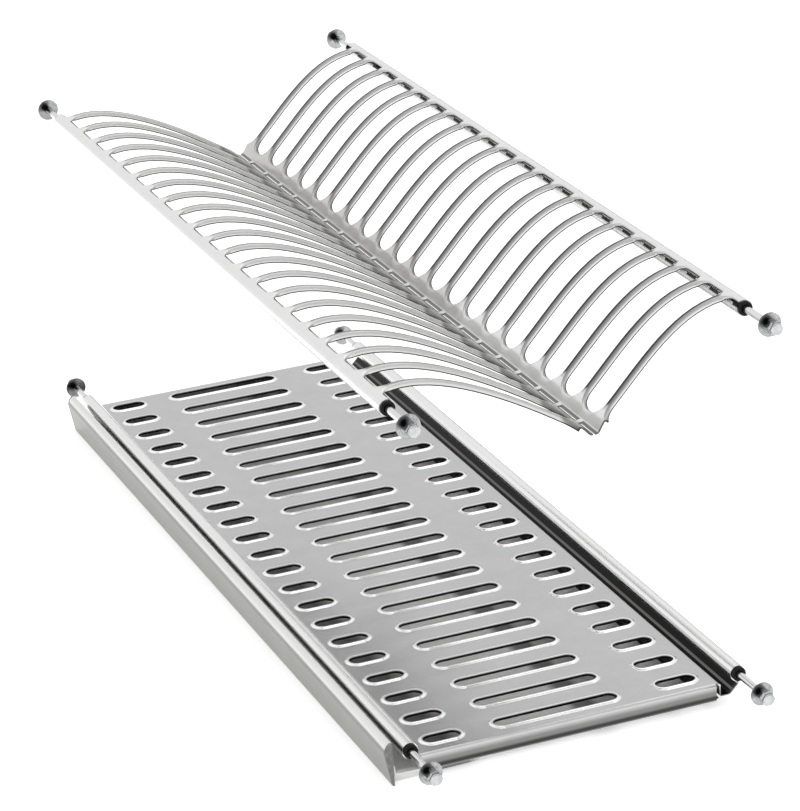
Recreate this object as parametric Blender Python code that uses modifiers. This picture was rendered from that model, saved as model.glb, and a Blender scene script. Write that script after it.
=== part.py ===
import math

import bmesh
import bpy
from mathutils import Matrix, Vector
from mathutils.geometry import delaunay_2d_cdt

# A dish drainer that is held between the two sides of a wall cabinet.
# Metres, +Z up, +X along the rolled tubes, the front is at -Y.
# The heights and depths below are taken from the top of the glass rack's sheet
# and from the middle between its two tubes.

# Sheet metal of both racks
SHEET_LENGTH = 0.693
SHEET_THICKNESS = 0.001
SLOT_PITCH = 0.033
RIB_COUNT = 21
TUBE_RADIUS = 0.0055
ROLL_FACETS = 10
ROLL_STEP_DEGREES = 30
FIT_GAP = 0.0003

# Plate rack
PLATE_FRONT_Y = -0.115
PLATE_FRONT_Z = 0.238
PLATE_SPAN = 0.243
PLATE_REAR_RISE = 0.018
PLATE_LEAVE_DEGREES = 114.7
PLATE_REAR_ROLL_DEGREES = 90
WING_CREST_SHARE = 0.1152
WING_CREST_Z = 0.018
WING_FALL_SHARE = 0.3292
WING_FALL_Z = -0.008
VALLEY_FRONT_SHARE = 0.5514
VALLEY_TOP_Z = -0.045
VALLEY_FRONT_RUN = 0.0033
VALLEY_FLOOR_WIDTH = 0.0054
VALLEY_FLOOR_Z = -0.0495
VALLEY_REAR_RUN = 0.0053
VALLEY_REAR_Z = -0.041
WING_RISE_SHARE = 0.7325
WING_RISE_Z = -0.012
WING_SHOULDER_SHARE = 0.8354
WING_SHOULDER_Z = 0.024
FRONT_WING_PIECES = 6
REAR_WING_PIECES = 5
PLATE_SLOT_WIDTH = 0.0275
PLATE_TUBE_CORNER = 0.006
PLATE_VALLEY_CORNER = 0.012
PLATE_END_FLARE = 0.006
PLATE_SLOT_TO_TUBE = 0.003
PLATE_SLOT_TO_FLOOR = 0.0072
PLATE_RIM_DEPTH = 0.0028
PLATE_RIM_TUBE_DEPTH = 0.0008
DRAIN_WIDTH = 0.027
DRAIN_LENGTH = 0.003
DRAIN_END_MARGIN = 0.003
SLOT_CORNER_PIECES = 2
VALLEY_CORNER_PIECES = 4
DRAIN_CORNER_PIECES = 1

# Glass rack
GLASS_SPAN = 0.2307
GLASS_FRONT_ROLL_DEGREES = -30
SLOT_OPENING = 0.0108
SLOT_RIM_INSET = 0.0026
SLOT_RIM_RISE = 0.0011
FRONT_SLOT_START = 0.012
FRONT_SLOT_END = 0.044
MIDDLE_SLOT_START = 0.061
MIDDLE_SLOT_END = 0.154
REAR_SLOT_START = 0.176
REAR_SLOT_END = 0.210
GROOVE_START = 0.2175
GROOVE_DEPTH = 0.0085
GROOVE_RISE_DEGREES = 45
FLANGE_START = 0.007
FLANGE_END = 0.215
FLANGE_DEPTH = 0.0125
FLANGE_LIP = 0.005
FLANGE_BEND = 0.0012
BEND_RELIEF = 0.0015

# Drip tray and its front strip
TRAY_THICKNESS = 0.0008
TRAY_SIDE_PLAY = 0.0005
TRAY_DRAFT = 0.0005
TRAY_FRONT_Z = -0.0045
TRAY_FLOOR_FRONT_Z = -0.0172
TRAY_FLOOR_REAR_Z = -0.0136
TRAY_REAR_WALL = 0.212
TRAY_REAR_RIM = 0.005
GRID_SIZE = 1
STRIP_INNER = -0.0116
STRIP_OUTER = -0.017
STRIP_FOOT = -0.0130
STRIP_TOP_Z = 0.0125
STRIP_SHOULDER_Z = 0.005
STRIP_BOTTOM_Z = -0.0176
STRIP_TOP_PIECES = 4
STRIP_CAP_THICKNESS = 0.0015

# Sprung pins at the eight tube ends
PIN_REACH = 0.0355
WASHER_RADIUS = 0.008
WASHER_SEAT_RADIUS = 0.0052
WASHER_SEAT_DEPTH = 0.0002
WASHER_THICKNESS = 0.0012
ROD_RADIUS = 0.0025
BORE_RADIUS = 0.00295
BUSH_FLANGE_RADIUS = 0.0049
BUSH_FLANGE_LENGTH = 0.002
BUSH_EDGE = 0.0005
BUSH_SHANK_RADIUS = 0.004
BUSH_SHANK_LENGTH = 0.012
COLLAR_RADIUS = 0.0037
COLLAR_LENGTH = 0.003
PIN_TAIL_LENGTH = 0.018
SPRING_INNER_RADIUS = 0.0029
SPRING_OUTER_RADIUS = 0.0038
SPRING_LENGTH = 0.040
STOP_RADIUS = 0.004
STOP_LENGTH = 0.005
NUT_CORNER_RADIUS = 0.00462
NUT_FLAT_LENGTH = 0.0086
NUT_LENGTH = 0.010
NUT_TIP_RADIUS = 0.0033
NUT_BORE_DEPTH = 0.0065
ROD_IN_NUT = 0.006

ROLL_RADIUS = TUBE_RADIUS - SHEET_THICKNESS / 2
HALF_LENGTH = SHEET_LENGTH / 2
SHEET_MID_Z = -SHEET_THICKNESS / 2
GLASS_FRONT_Y = -GLASS_SPAN / 2
GLASS_TUBE_Z = SHEET_MID_Z + ROLL_RADIUS
MERGE_DISTANCE = 0.000001
LAY_ALONG_X = Matrix(((0, 0, 1, 0), (1, 0, 0, 0), (0, 1, 0, 0), (0, 0, 0, 1)))

DEEP_FRONT = GLASS_FRONT_Y + STRIP_OUTER
DEEP_BACK = PLATE_FRONT_Y + PLATE_SPAN + WASHER_RADIUS
HIGH_TOP = PLATE_FRONT_Z + PLATE_REAR_RISE + WASHER_RADIUS
CENTER_Y = (DEEP_FRONT + DEEP_BACK) / 2
CENTER_Z = (HIGH_TOP + STRIP_BOTTOM_Z) / 2


def clear_scene():
    for thing in list(bpy.data.objects):
        bpy.data.objects.remove(thing, do_unlink=True)


def make_material(name, colour, roughness, metallic):
    material = bpy.data.materials.new(name)
    material.use_nodes = True
    shader = material.node_tree.nodes["Principled BSDF"]
    shader.inputs["Base Color"].default_value = (*colour, 1.0)
    shader.inputs["Roughness"].default_value = roughness
    shader.inputs["Metallic"].default_value = metallic
    material.diffuse_color = (*colour, 1.0)
    return material


def add_object(name, mesh, material, parent, smooth):
    thing = bpy.data.objects.new(name, mesh)
    parts.objects.link(thing)
    mesh.materials.clear()
    mesh.materials.append(material)
    mesh.polygons.foreach_set("use_smooth", [smooth] * len(mesh.polygons))
    thing.parent = parent
    return thing


def add_empty(name, location):
    empty = bpy.data.objects.new(name, None)
    parts.objects.link(empty)
    empty.location = location
    return empty


def roll_points(center_y, center_z, start_degrees, turn):
    """Corners of one rolled tube, turning one way or the other from its start."""
    points = []
    for facet in range(ROLL_FACETS + 1):
        angle = math.radians(start_degrees + turn * facet * ROLL_STEP_DEGREES)
        y = center_y + ROLL_RADIUS * math.cos(angle)
        z = center_z + ROLL_RADIUS * math.sin(angle)
        points.append((y, z))
    return points


def curve_points(start, start_handle, end_handle, end, pieces):
    """Inner points of a smooth bend between two ends, without the ends."""
    points = []
    for piece in range(1, pieces):
        share = piece / pieces
        rest = 1 - share
        weights = (rest ** 3, 3 * rest ** 2 * share, 3 * rest * share ** 2, share ** 3)
        corners = (start, start_handle, end_handle, end)
        y = sum(weight * corner[0] for weight, corner in zip(weights, corners))
        z = sum(weight * corner[1] for weight, corner in zip(weights, corners))
        points.append((y, z))
    return points


def plate_section():
    """Middle of the sheet from one rolled edge through the valley to the other."""
    full_turn = ROLL_FACETS * ROLL_STEP_DEGREES
    front = roll_points(0, 0, PLATE_LEAVE_DEGREES + full_turn, -1)
    valley_front = PLATE_SPAN * VALLEY_FRONT_SHARE
    floor_front = valley_front + VALLEY_FRONT_RUN
    floor_rear = floor_front + VALLEY_FLOOR_WIDTH
    valley = [
        (valley_front, VALLEY_TOP_Z),
        (floor_front, VALLEY_FLOOR_Z),
        (floor_rear, VALLEY_FLOOR_Z),
        (floor_rear + VALLEY_REAR_RUN, VALLEY_REAR_Z),
    ]
    rear = roll_points(PLATE_SPAN, PLATE_REAR_RISE, PLATE_REAR_ROLL_DEGREES, -1)
    crest = (PLATE_SPAN * WING_CREST_SHARE, WING_CREST_Z)
    fall = (PLATE_SPAN * WING_FALL_SHARE, WING_FALL_Z)
    rise = (PLATE_SPAN * WING_RISE_SHARE, WING_RISE_Z)
    shoulder = (PLATE_SPAN * WING_SHOULDER_SHARE, WING_SHOULDER_Z)
    front_wing = curve_points(front[-1], crest, fall, valley[0], FRONT_WING_PIECES)
    rear_wing = curve_points(valley[-1], rise, shoulder, rear[0], REAR_WING_PIECES)
    points = front + front_wing + valley + rear_wing + rear
    floor_mark = len(front) + len(front_wing) + 1
    marks = {
        "front_tube": len(front) - 1,
        "floor_front": floor_mark,
        "floor_rear": floor_mark + 1,
        "rear_tube": len(points) - len(rear),
    }
    return points, marks


def glass_section():
    """Middle of the flat sheet with its rolled edges and the groove at the back."""
    front = roll_points(0, ROLL_RADIUS, GLASS_FRONT_ROLL_DEGREES, 1)
    rear = roll_points(GLASS_SPAN, ROLL_RADIUS, -GROOVE_RISE_DEGREES, 1)
    rise = math.tan(math.radians(GROOVE_RISE_DEGREES))
    groove_end = rear[0][0] - (rear[0][1] + GROOVE_DEPTH) / rise
    groove = [(GROOVE_START, 0), (GROOVE_START, -GROOVE_DEPTH), (groove_end, -GROOVE_DEPTH)]
    return front + groove + rear, len(front) - 1


class Section:
    """A bent line that flat points are laid along."""

    def __init__(self, points):
        self.points = [Vector(point) for point in points]
        self.lengths = [0.0]
        for first, second in zip(self.points, self.points[1:]):
            self.lengths.append(self.lengths[-1] + (second - first).length)
        self.normals = []
        for first, second in zip(self.points, self.points[1:]):
            along = (second - first).normalized()
            self.normals.append(Vector((-along.y, along.x)))

    def total(self):
        return self.lengths[-1]

    def lay(self, along, above):
        """Where a flat point comes to lie on the bent sheet."""
        for number, length in enumerate(self.lengths):
            if abs(length - along) < MERGE_DISTANCE:
                before = self.normals[max(number - 1, 0)]
                after = self.normals[min(number, len(self.normals) - 1)]
                shared = before + after
                normal = shared * (2 / shared.length_squared)
                return self.points[number] + normal * above
        number = max(index for index, length in enumerate(self.lengths[:-1]) if length < along)
        share = (along - self.lengths[number]) / (self.lengths[number + 1] - self.lengths[number])
        point = self.points[number].lerp(self.points[number + 1], share)
        return point + self.normals[number] * above


def slot_outline(x, start, end, width, start_corner, end_corner):
    """Outline of a slot, anticlockwise; each end's corners have a radius and a number of pieces."""
    corners = (
        (1, start, 1, start_corner, -90),
        (1, end, -1, end_corner, 0),
        (-1, end, -1, end_corner, 90),
        (-1, start, 1, start_corner, 180),
    )
    points = []
    for side, edge_u, inward, (radius, pieces), start_degrees in corners:
        center_x = x + side * (width / 2 - radius)
        center_u = edge_u + inward * radius
        for piece in range(pieces + 1):
            angle = math.radians(start_degrees + 90 * piece / pieces)
            point = Vector((center_x + radius * math.cos(angle), center_u + radius * math.sin(angle)))
            if not points or (point - points[-1]).length > MERGE_DISTANCE:
                points.append(point)
    if (points[0] - points[-1]).length <= MERGE_DISTANCE:
        points.pop()
    return points


def inside(point, outline):
    """Whether a flat point lies inside a closed outline."""
    found = False
    for first, second in zip(outline, outline[1:] + outline[:1]):
        if (first[1] > point[1]) != (second[1] > point[1]):
            crossing = first[0] + (point[1] - first[1]) * (second[0] - first[0]) / (second[1] - first[1])
            if point[0] < crossing:
                found = not found
    return found


def flat_sheet(outline, slots, folds):
    """A flat mesh of the cut blank, with an edge along every fold."""
    points = []
    edges = []
    for loop in [outline] + [slot["outline"] for slot in slots]:
        first = len(points)
        points.extend(Vector(point) for point in loop)
        count = len(loop)
        edges.extend((first + number, first + (number + 1) % count) for number in range(count))
    for start, end in folds:
        edges.append((len(points), len(points) + 1))
        points.append(Vector(start))
        points.append(Vector(end))
    corners, _, triangles, _, _, _ = delaunay_2d_cdt(points, edges, [], 0, MERGE_DISTANCE)
    blank = bmesh.new()
    placed = [blank.verts.new((corner[0], corner[1], 0)) for corner in corners]
    for triangle in triangles:
        middle = sum((corners[number] for number in triangle), Vector((0, 0))) / len(triangle)
        if not inside(middle, outline):
            continue
        near = [slot for slot in slots if abs(slot["x"] - middle.x) <= slot["width"] / 2]
        if any(inside(middle, slot["outline"]) for slot in near):
            continue
        blank.faces.new([placed[number] for number in triangle])
    loose = [vertex for vertex in blank.verts if not vertex.link_faces]
    bmesh.ops.delete(blank, geom=loose, context="VERTS")
    return blank


def turn_rims(blank, slots):
    """Adds the rim round every slot that has one, turned up or down."""
    rimmed = [slot for slot in slots if slot["rise"] != 0]
    for slot in rimmed:
        edges = []
        for edge in blank.edges:
            if not edge.is_boundary:
                continue
            middle = (edge.verts[0].co + edge.verts[1].co) / 2
            across = abs(middle.x - slot["x"]) < slot["width"] / 2 + MERGE_DISTANCE
            along = slot["start"] - MERGE_DISTANCE < middle.y < slot["end"] + MERGE_DISTANCE
            step = slot["tube_end"] is not None and abs(middle.y - slot["tube_end"]) < MERGE_DISTANCE
            open_step = step and abs(slot["x"]) + slot["width"] / 2 > HALF_LENGTH
            if across and along and not open_step:
                edges.append(edge)
        made = bmesh.ops.extrude_edge_only(blank, edges=edges)
        half = slot["width"] / 2
        for vertex in made["geom"]:
            if not isinstance(vertex, bmesh.types.BMVert):
                continue
            spine_u = min(max(vertex.co.y, slot["start"] + half), slot["end"] - half)
            spine = Vector((slot["x"], spine_u, 0))
            kept_share = 1 - slot["inset"] / half
            grown_share = 1
            if slot["tube_end"] is not None:
                grown_share = min(abs(vertex.co.y - slot["tube_end"]) / PLATE_TUBE_CORNER, 1)
            vertex.co = spine + (vertex.co - spine) * kept_share
            vertex.co.z = slot["end_rise"] + (slot["rise"] - slot["end_rise"]) * grown_share


def bend_sheet(name, blank, section, end_bend):
    """Lays the blank along its section and bends its end flanges down."""
    for vertex in blank.verts:
        x, along, above = vertex.co
        laid = section.lay(along, above)
        z = laid.y
        if end_bend and end_bend.holds(x, along):
            corner = end_bend.line.lay(abs(x) - end_bend.start, 0)
            x = math.copysign(end_bend.start + corner.x, x)
            z = z + corner.y
        vertex.co = (x, laid.x, z)
    bmesh.ops.remove_doubles(blank, verts=blank.verts, dist=MERGE_DISTANCE)
    bmesh.ops.recalc_face_normals(blank, faces=blank.faces)
    mesh = bpy.data.meshes.new(name)
    blank.to_mesh(mesh)
    blank.free()
    return mesh


class EndBend:
    """Flange turned down at each short end, with a lip turned in below."""

    def __init__(self, front, back):
        self.front = front
        self.back = back
        self.start = HALF_LENGTH - SHEET_THICKNESS / 2 - FLANGE_BEND
        drop = FLANGE_DEPTH - SHEET_THICKNESS
        self.line = Section([
            (0, 0),
            (FLANGE_BEND, -FLANGE_BEND),
            (FLANGE_BEND, -drop),
            (FLANGE_BEND - FLANGE_LIP + SHEET_THICKNESS / 2, -drop),
        ])

    def holds(self, x, along):
        """Whether a flat point belongs to the flange."""
        within = self.front - MERGE_DISTANCE < along < self.back + MERGE_DISTANCE
        return within and abs(x) > self.start


def solidify(thing, thickness):
    modifier = thing.modifiers.new("thickness", "SOLIDIFY")
    modifier.thickness = thickness
    modifier.offset = 0
    modifier.use_even_offset = True


def make_slot(x, start, end, width, start_corner, end_corner):
    """A plain slot without a rim."""
    return {
        "x": x,
        "start": start,
        "end": end,
        "width": width,
        "inset": 0,
        "rise": 0,
        "end_rise": 0,
        "tube_end": None,
        "outline": slot_outline(x, start, end, width, start_corner, end_corner),
    }


def corner_arc(x, along, radius, pieces, direction):
    """Rounded inner corner where an end rib widens into the valley."""
    points = []
    for piece in range(pieces + 1):
        angle = math.radians(90 * piece / pieces)
        offset = radius - radius * math.cos(angle)
        back = radius - radius * math.sin(angle)
        points.append((x + offset, along - direction * back))
    return points


def outline_reach(side, along):
    """How far out the right side of the outline lies at one place along the sheet."""
    for first, second in zip(side, side[1:]):
        low = min(first[1], second[1])
        high = max(first[1], second[1])
        if low <= along <= high and high - low > MERGE_DISTANCE:
            share = (along - first[1]) / (second[1] - first[1])
            return first[0] + (second[0] - first[0]) * share
    return side[0][0]


def make_plate_rack(parent):
    points, marks = plate_section()
    section = Section(points)
    front_start = section.lengths[marks["front_tube"]] + PLATE_SLOT_TO_TUBE
    rear_end = section.lengths[marks["rear_tube"]] - PLATE_SLOT_TO_TUBE
    floor_start = section.lengths[marks["floor_front"]]
    floor_end = section.lengths[marks["floor_rear"]]
    front_end = floor_start - PLATE_SLOT_TO_FLOOR
    rear_start = floor_end + PLATE_SLOT_TO_FLOOR
    drain_start = (floor_start + floor_end - DRAIN_LENGTH) / 2
    tube_corner = (PLATE_TUBE_CORNER, SLOT_CORNER_PIECES)
    valley_corner = (PLATE_VALLEY_CORNER, VALLEY_CORNER_PIECES)
    drain_corner = (DRAIN_LENGTH / 2, DRAIN_CORNER_PIECES)
    hole_width = PLATE_SLOT_WIDTH + SHEET_THICKNESS
    rib_edge = RIB_COUNT * SLOT_PITCH / 2 - hole_width / 2
    valley_edge = rib_edge + PLATE_END_FLARE
    slots = []
    for number in range(-1, RIB_COUNT):
        x = (number - (RIB_COUNT - 2) / 2) * SLOT_PITCH
        front_slot = make_slot(x, front_start, front_end, hole_width, tube_corner, valley_corner)
        rear_slot = make_slot(x, rear_start, rear_end, hole_width, valley_corner, tube_corner)
        for slot, tube_end in ((front_slot, front_start), (rear_slot, rear_end)):
            slot.update(rise=-PLATE_RIM_DEPTH, end_rise=-PLATE_RIM_TUBE_DEPTH, tube_end=tube_end)
            slots.append(slot)
    last_drain = valley_edge - DRAIN_END_MARGIN
    drains = []
    for number in range(RIB_COUNT):
        x = (number - (RIB_COUNT - 1) / 2) * SLOT_PITCH
        left = max(x - DRAIN_WIDTH / 2, -last_drain)
        right = min(x + DRAIN_WIDTH / 2, last_drain)
        middle_x = (left + right) / 2
        drain_end = drain_start + DRAIN_LENGTH
        drain = make_slot(middle_x, drain_start, drain_end, right - left, drain_corner, drain_corner)
        drains.append(drain)
    total = section.total()
    right_side = [(HALF_LENGTH, 0), (HALF_LENGTH, front_start), (rib_edge, front_start)]
    right_side.extend(corner_arc(rib_edge, front_end, PLATE_END_FLARE, SLOT_CORNER_PIECES, 1))
    right_side.extend(reversed(corner_arc(rib_edge, rear_start, PLATE_END_FLARE, SLOT_CORNER_PIECES, -1)))
    right_side.extend([(rib_edge, rear_end), (HALF_LENGTH, rear_end), (HALF_LENGTH, total)])
    outline = right_side + [(-x, along) for x, along in reversed(right_side)]
    folds = []
    for length in section.lengths[1:-1]:
        on_wing = front_start < length < rear_end
        reach = HALF_LENGTH
        if on_wing:
            reach = outline_reach(right_side, length)
        folds.append(((-reach, length), (reach, length)))
    blank = flat_sheet(outline, slots[2:-2] + drains, folds)
    turn_rims(blank, slots)
    mesh = bend_sheet("plate_rack", blank, section, None)
    rack = add_object("plate_rack", mesh, materials["rack"], parent, False)
    rack.location = (0, PLATE_FRONT_Y, PLATE_FRONT_Z)
    solidify(rack, SHEET_THICKNESS)


def make_glass_rack(parent):
    points, front_tube = glass_section()
    section = Section(points)
    origin = section.lengths[front_tube]
    rim_slope = math.atan(SLOT_RIM_RISE / SLOT_RIM_INSET)
    hole_width = SLOT_OPENING + 2 * SLOT_RIM_INSET + SHEET_THICKNESS * math.sin(rim_slope)
    spans = (
        (FRONT_SLOT_START, FRONT_SLOT_END),
        (MIDDLE_SLOT_START, MIDDLE_SLOT_END),
        (REAR_SLOT_START, REAR_SLOT_END),
    )
    corner = (hole_width / 2, SLOT_CORNER_PIECES)
    slots = []
    for number in range(RIB_COUNT):
        x = (number - (RIB_COUNT - 1) / 2) * SLOT_PITCH
        for start, end in spans:
            slot = make_slot(x, origin + start, origin + end, hole_width, corner, corner)
            slot.update(inset=SLOT_RIM_INSET, rise=SLOT_RIM_RISE)
            slots.append(slot)
    total = section.total()
    tab_start = origin + FLANGE_START
    tab_end = origin + FLANGE_END
    bend = EndBend(tab_start, tab_end)
    tab_x = bend.start + bend.line.total()
    right_side = [
        (HALF_LENGTH, 0),
        (HALF_LENGTH, tab_start - BEND_RELIEF),
        (bend.start, tab_start - BEND_RELIEF),
        (bend.start, tab_start),
        (tab_x, tab_start),
        (tab_x, tab_end),
        (bend.start, tab_end),
        (bend.start, tab_end + BEND_RELIEF),
        (HALF_LENGTH, tab_end + BEND_RELIEF),
        (HALF_LENGTH, total),
    ]
    outline = right_side + [(-x, along) for x, along in reversed(right_side)]
    folds = [((-HALF_LENGTH, length), (HALF_LENGTH, length)) for length in section.lengths[1:-1]]
    for length in bend.line.lengths[:-1]:
        x = bend.start + length
        folds.append(((x, tab_start), (x, tab_end)))
        folds.append(((-x, tab_start), (-x, tab_end)))
    blank = flat_sheet(outline, slots, folds)
    turn_rims(blank, slots)
    mesh = bend_sheet("glass_rack", blank, section, bend)
    rack = add_object("glass_rack", mesh, materials["rack"], parent, False)
    rack.location = (0, GLASS_FRONT_Y, SHEET_MID_Z)
    solidify(rack, SHEET_THICKNESS)


def make_tray(parent):
    """Shallow pan whose side rims slide on the lips below the glass rack."""
    lip_top = SHEET_MID_Z - FLANGE_DEPTH + SHEET_THICKNESS + SHEET_THICKNESS / 2
    rim_z = lip_top + FIT_GAP + TRAY_THICKNESS / 2
    rim_x = HALF_LENGTH - SHEET_THICKNESS - TRAY_SIDE_PLAY
    lip_edge = HALF_LENGTH - FLANGE_LIP
    wall_x = lip_edge - TRAY_SIDE_PLAY - TRAY_THICKNESS / 2
    floor_x = wall_x - TRAY_DRAFT
    front_y = STRIP_INNER + FIT_GAP + TRAY_THICKNESS / 2
    columns = (-rim_x, -wall_x, -floor_x, floor_x, wall_x, rim_x)
    rows = (
        front_y,
        front_y + TRAY_DRAFT,
        TRAY_REAR_WALL - TRAY_DRAFT,
        TRAY_REAR_WALL,
        TRAY_REAR_WALL + TRAY_REAR_RIM,
    )
    pan = bmesh.new()
    bmesh.ops.create_grid(pan, x_segments=len(columns) - 1, y_segments=len(rows) - 1, size=GRID_SIZE / 2)
    for vertex in pan.verts:
        column = round((vertex.co.x / GRID_SIZE + 1 / 2) * (len(columns) - 1))
        row = round((vertex.co.y / GRID_SIZE + 1 / 2) * (len(rows) - 1))
        z = rim_z
        if column in (2, 3) and row == 1:
            z = TRAY_FLOOR_FRONT_Z
        if column in (2, 3) and row == 2:
            z = TRAY_FLOOR_REAR_Z
        if row == 0:
            z = TRAY_FRONT_Z
        vertex.co = (columns[column], rows[row], z)
    mesh = bpy.data.meshes.new("drip_tray")
    pan.to_mesh(mesh)
    pan.free()
    tray = add_object("drip_tray", mesh, materials["tray"], parent, False)
    tray.location = (0, GLASS_FRONT_Y, 0)
    solidify(tray, TRAY_THICKNESS)


def extruded(name, points, half_length):
    """Mesh of a flat outline in Y and Z drawn out along X."""
    curve = bpy.data.curves.new(name, "CURVE")
    curve.dimensions = "2D"
    curve.fill_mode = "BOTH"
    curve.extrude = half_length
    line = curve.splines.new("POLY")
    line.points.add(len(points) - 1)
    for number, point in enumerate(points):
        line.points[number].co = (point[0], point[1], 0, 1)
    line.use_cyclic_u = True
    holder = bpy.data.objects.new(name, curve)
    parts.objects.link(holder)
    bpy.context.view_layer.update()
    graph = bpy.context.evaluated_depsgraph_get()
    mesh = bpy.data.meshes.new_from_object(holder.evaluated_get(graph))
    bpy.data.objects.remove(holder, do_unlink=True)
    mesh.transform(LAY_ALONG_X)
    work = bmesh.new()
    work.from_mesh(mesh)
    bmesh.ops.remove_doubles(work, verts=work.verts, dist=MERGE_DISTANCE)
    bmesh.ops.recalc_face_normals(work, faces=work.faces)
    work.to_mesh(mesh)
    work.free()
    return mesh


def make_strip(parent):
    """Front strip of the tray with a cap on each end."""
    points = [(STRIP_FOOT, STRIP_BOTTOM_Z), (STRIP_INNER, STRIP_BOTTOM_Z)]
    depth = STRIP_INNER - STRIP_OUTER
    height = STRIP_TOP_Z - STRIP_SHOULDER_Z
    for piece in range(STRIP_TOP_PIECES + 1):
        angle = math.radians(90 * piece / STRIP_TOP_PIECES)
        y = STRIP_INNER - depth * math.sin(angle)
        z = STRIP_SHOULDER_Z + height * math.cos(angle)
        points.append((y, z))
    strip_half = HALF_LENGTH - STRIP_CAP_THICKNESS - FIT_GAP
    strip_mesh = extruded("tray_front", points, strip_half)
    strip = add_object("tray_front", strip_mesh, materials["strip"], parent, False)
    strip.location = (0, GLASS_FRONT_Y, 0)
    cap_mesh = extruded("tray_front_cap", points, STRIP_CAP_THICKNESS / 2)
    for side, word in ((-1, "left"), (1, "right")):
        cap = add_object("tray_front_cap_" + word, cap_mesh, materials["cap"], parent, False)
        cap.location = (side * (HALF_LENGTH - STRIP_CAP_THICKNESS / 2), GLASS_FRONT_Y, 0)


def turned(name, profile, sides):
    """Closed ring or solid turned about X from pairs of distance along X and radius."""
    line = bmesh.new()
    corners = [line.verts.new((radius, 0, along)) for along, radius in profile]
    for first, second in zip(corners, corners[1:]):
        line.edges.new((first, second))
    if profile[0][1] > 0:
        line.edges.new((corners[-1], corners[0]))
    mesh = bpy.data.meshes.new(name)
    line.to_mesh(mesh)
    line.free()
    holder = bpy.data.objects.new(name, mesh)
    parts.objects.link(holder)
    screw = holder.modifiers.new("turn", "SCREW")
    screw.axis = "Z"
    screw.steps = sides
    screw.render_steps = sides
    screw.use_merge_vertices = True
    screw.merge_threshold = MERGE_DISTANCE
    bpy.context.view_layer.update()
    graph = bpy.context.evaluated_depsgraph_get()
    result = bpy.data.meshes.new_from_object(holder.evaluated_get(graph))
    bpy.data.objects.remove(holder, do_unlink=True)
    result.transform(LAY_ALONG_X)
    work = bmesh.new()
    work.from_mesh(result)
    bmesh.ops.recalc_face_normals(work, faces=work.faces)
    work.to_mesh(result)
    work.free()
    return result


def end_meshes():
    """Shared shapes of the pieces in one tube end, outward along +X from the tube's end."""
    washer_outer = PIN_REACH
    washer_inner = washer_outer - WASHER_THICKNESS
    collar_outer = -BUSH_SHANK_LENGTH - FIT_GAP
    collar_inner = collar_outer - COLLAR_LENGTH
    tail_end = collar_inner - PIN_TAIL_LENGTH
    rod_end = washer_outer + ROD_IN_NUT
    spring_outer = collar_inner - FIT_GAP
    spring_inner = spring_outer - SPRING_LENGTH
    stop_outer = spring_inner - FIT_GAP
    washer_seat = washer_outer - WASHER_SEAT_DEPTH
    nut_start = washer_seat + FIT_GAP
    nut_end = washer_outer + NUT_LENGTH
    flange_start = FIT_GAP
    flange_end = flange_start + BUSH_FLANGE_LENGTH
    profiles = {
        "bush": (12, [
            (flange_end, BORE_RADIUS),
            (flange_end, BUSH_FLANGE_RADIUS - BUSH_EDGE),
            (flange_end - BUSH_EDGE, BUSH_FLANGE_RADIUS),
            (flange_start, BUSH_FLANGE_RADIUS),
            (flange_start, BUSH_SHANK_RADIUS),
            (-BUSH_SHANK_LENGTH, BUSH_SHANK_RADIUS),
            (-BUSH_SHANK_LENGTH, BORE_RADIUS),
        ]),
        "pin": (8, [
            (rod_end, 0),
            (rod_end, ROD_RADIUS),
            (collar_outer, ROD_RADIUS),
            (collar_outer, COLLAR_RADIUS),
            (collar_inner, COLLAR_RADIUS),
            (collar_inner, ROD_RADIUS),
            (tail_end, ROD_RADIUS),
            (tail_end, 0),
        ]),
        "washer": (16, [
            (washer_seat, BORE_RADIUS),
            (washer_seat, WASHER_SEAT_RADIUS),
            (washer_outer, WASHER_SEAT_RADIUS),
            (washer_outer, WASHER_RADIUS),
            (washer_inner, WASHER_RADIUS),
            (washer_inner, BORE_RADIUS),
        ]),
        "cap_nut": (6, [
            (nut_end, 0),
            (nut_end, NUT_TIP_RADIUS),
            (washer_outer + NUT_FLAT_LENGTH, NUT_CORNER_RADIUS),
            (nut_start, NUT_CORNER_RADIUS),
            (nut_start, BORE_RADIUS),
            (washer_outer + NUT_BORE_DEPTH, BORE_RADIUS),
            (washer_outer + NUT_BORE_DEPTH, 0),
        ]),
        "spring": (8, [
            (spring_outer, SPRING_INNER_RADIUS),
            (spring_outer, SPRING_OUTER_RADIUS),
            (spring_inner, SPRING_OUTER_RADIUS),
            (spring_inner, SPRING_INNER_RADIUS),
        ]),
        "spring_stop": (8, [
            (stop_outer, 0),
            (stop_outer, STOP_RADIUS),
            (stop_outer - STOP_LENGTH, STOP_RADIUS),
            (stop_outer - STOP_LENGTH, 0),
        ]),
    }
    return {kind: turned(kind, profile, sides) for kind, (sides, profile) in profiles.items()}


def make_ends(parent):
    tubes = {
        "plate_front": (PLATE_FRONT_Y, PLATE_FRONT_Z),
        "plate_rear": (PLATE_FRONT_Y + PLATE_SPAN, PLATE_FRONT_Z + PLATE_REAR_RISE),
        "glass_front": (GLASS_FRONT_Y, GLASS_TUBE_Z),
        "glass_rear": (GLASS_FRONT_Y + GLASS_SPAN, GLASS_TUBE_Z),
    }
    meshes = end_meshes()
    for tube, (y, z) in tubes.items():
        for side, word in ((-1, "left"), (1, "right")):
            for kind, mesh in meshes.items():
                name = kind + "_" + tube + "_" + word
                piece = add_object(name, mesh, materials[kind], parent, kind != "cap_nut")
                piece.location = (side * HALF_LENGTH, y, z)
                if side < 0:
                    piece.rotation_euler = (0, 0, math.pi)


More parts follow.
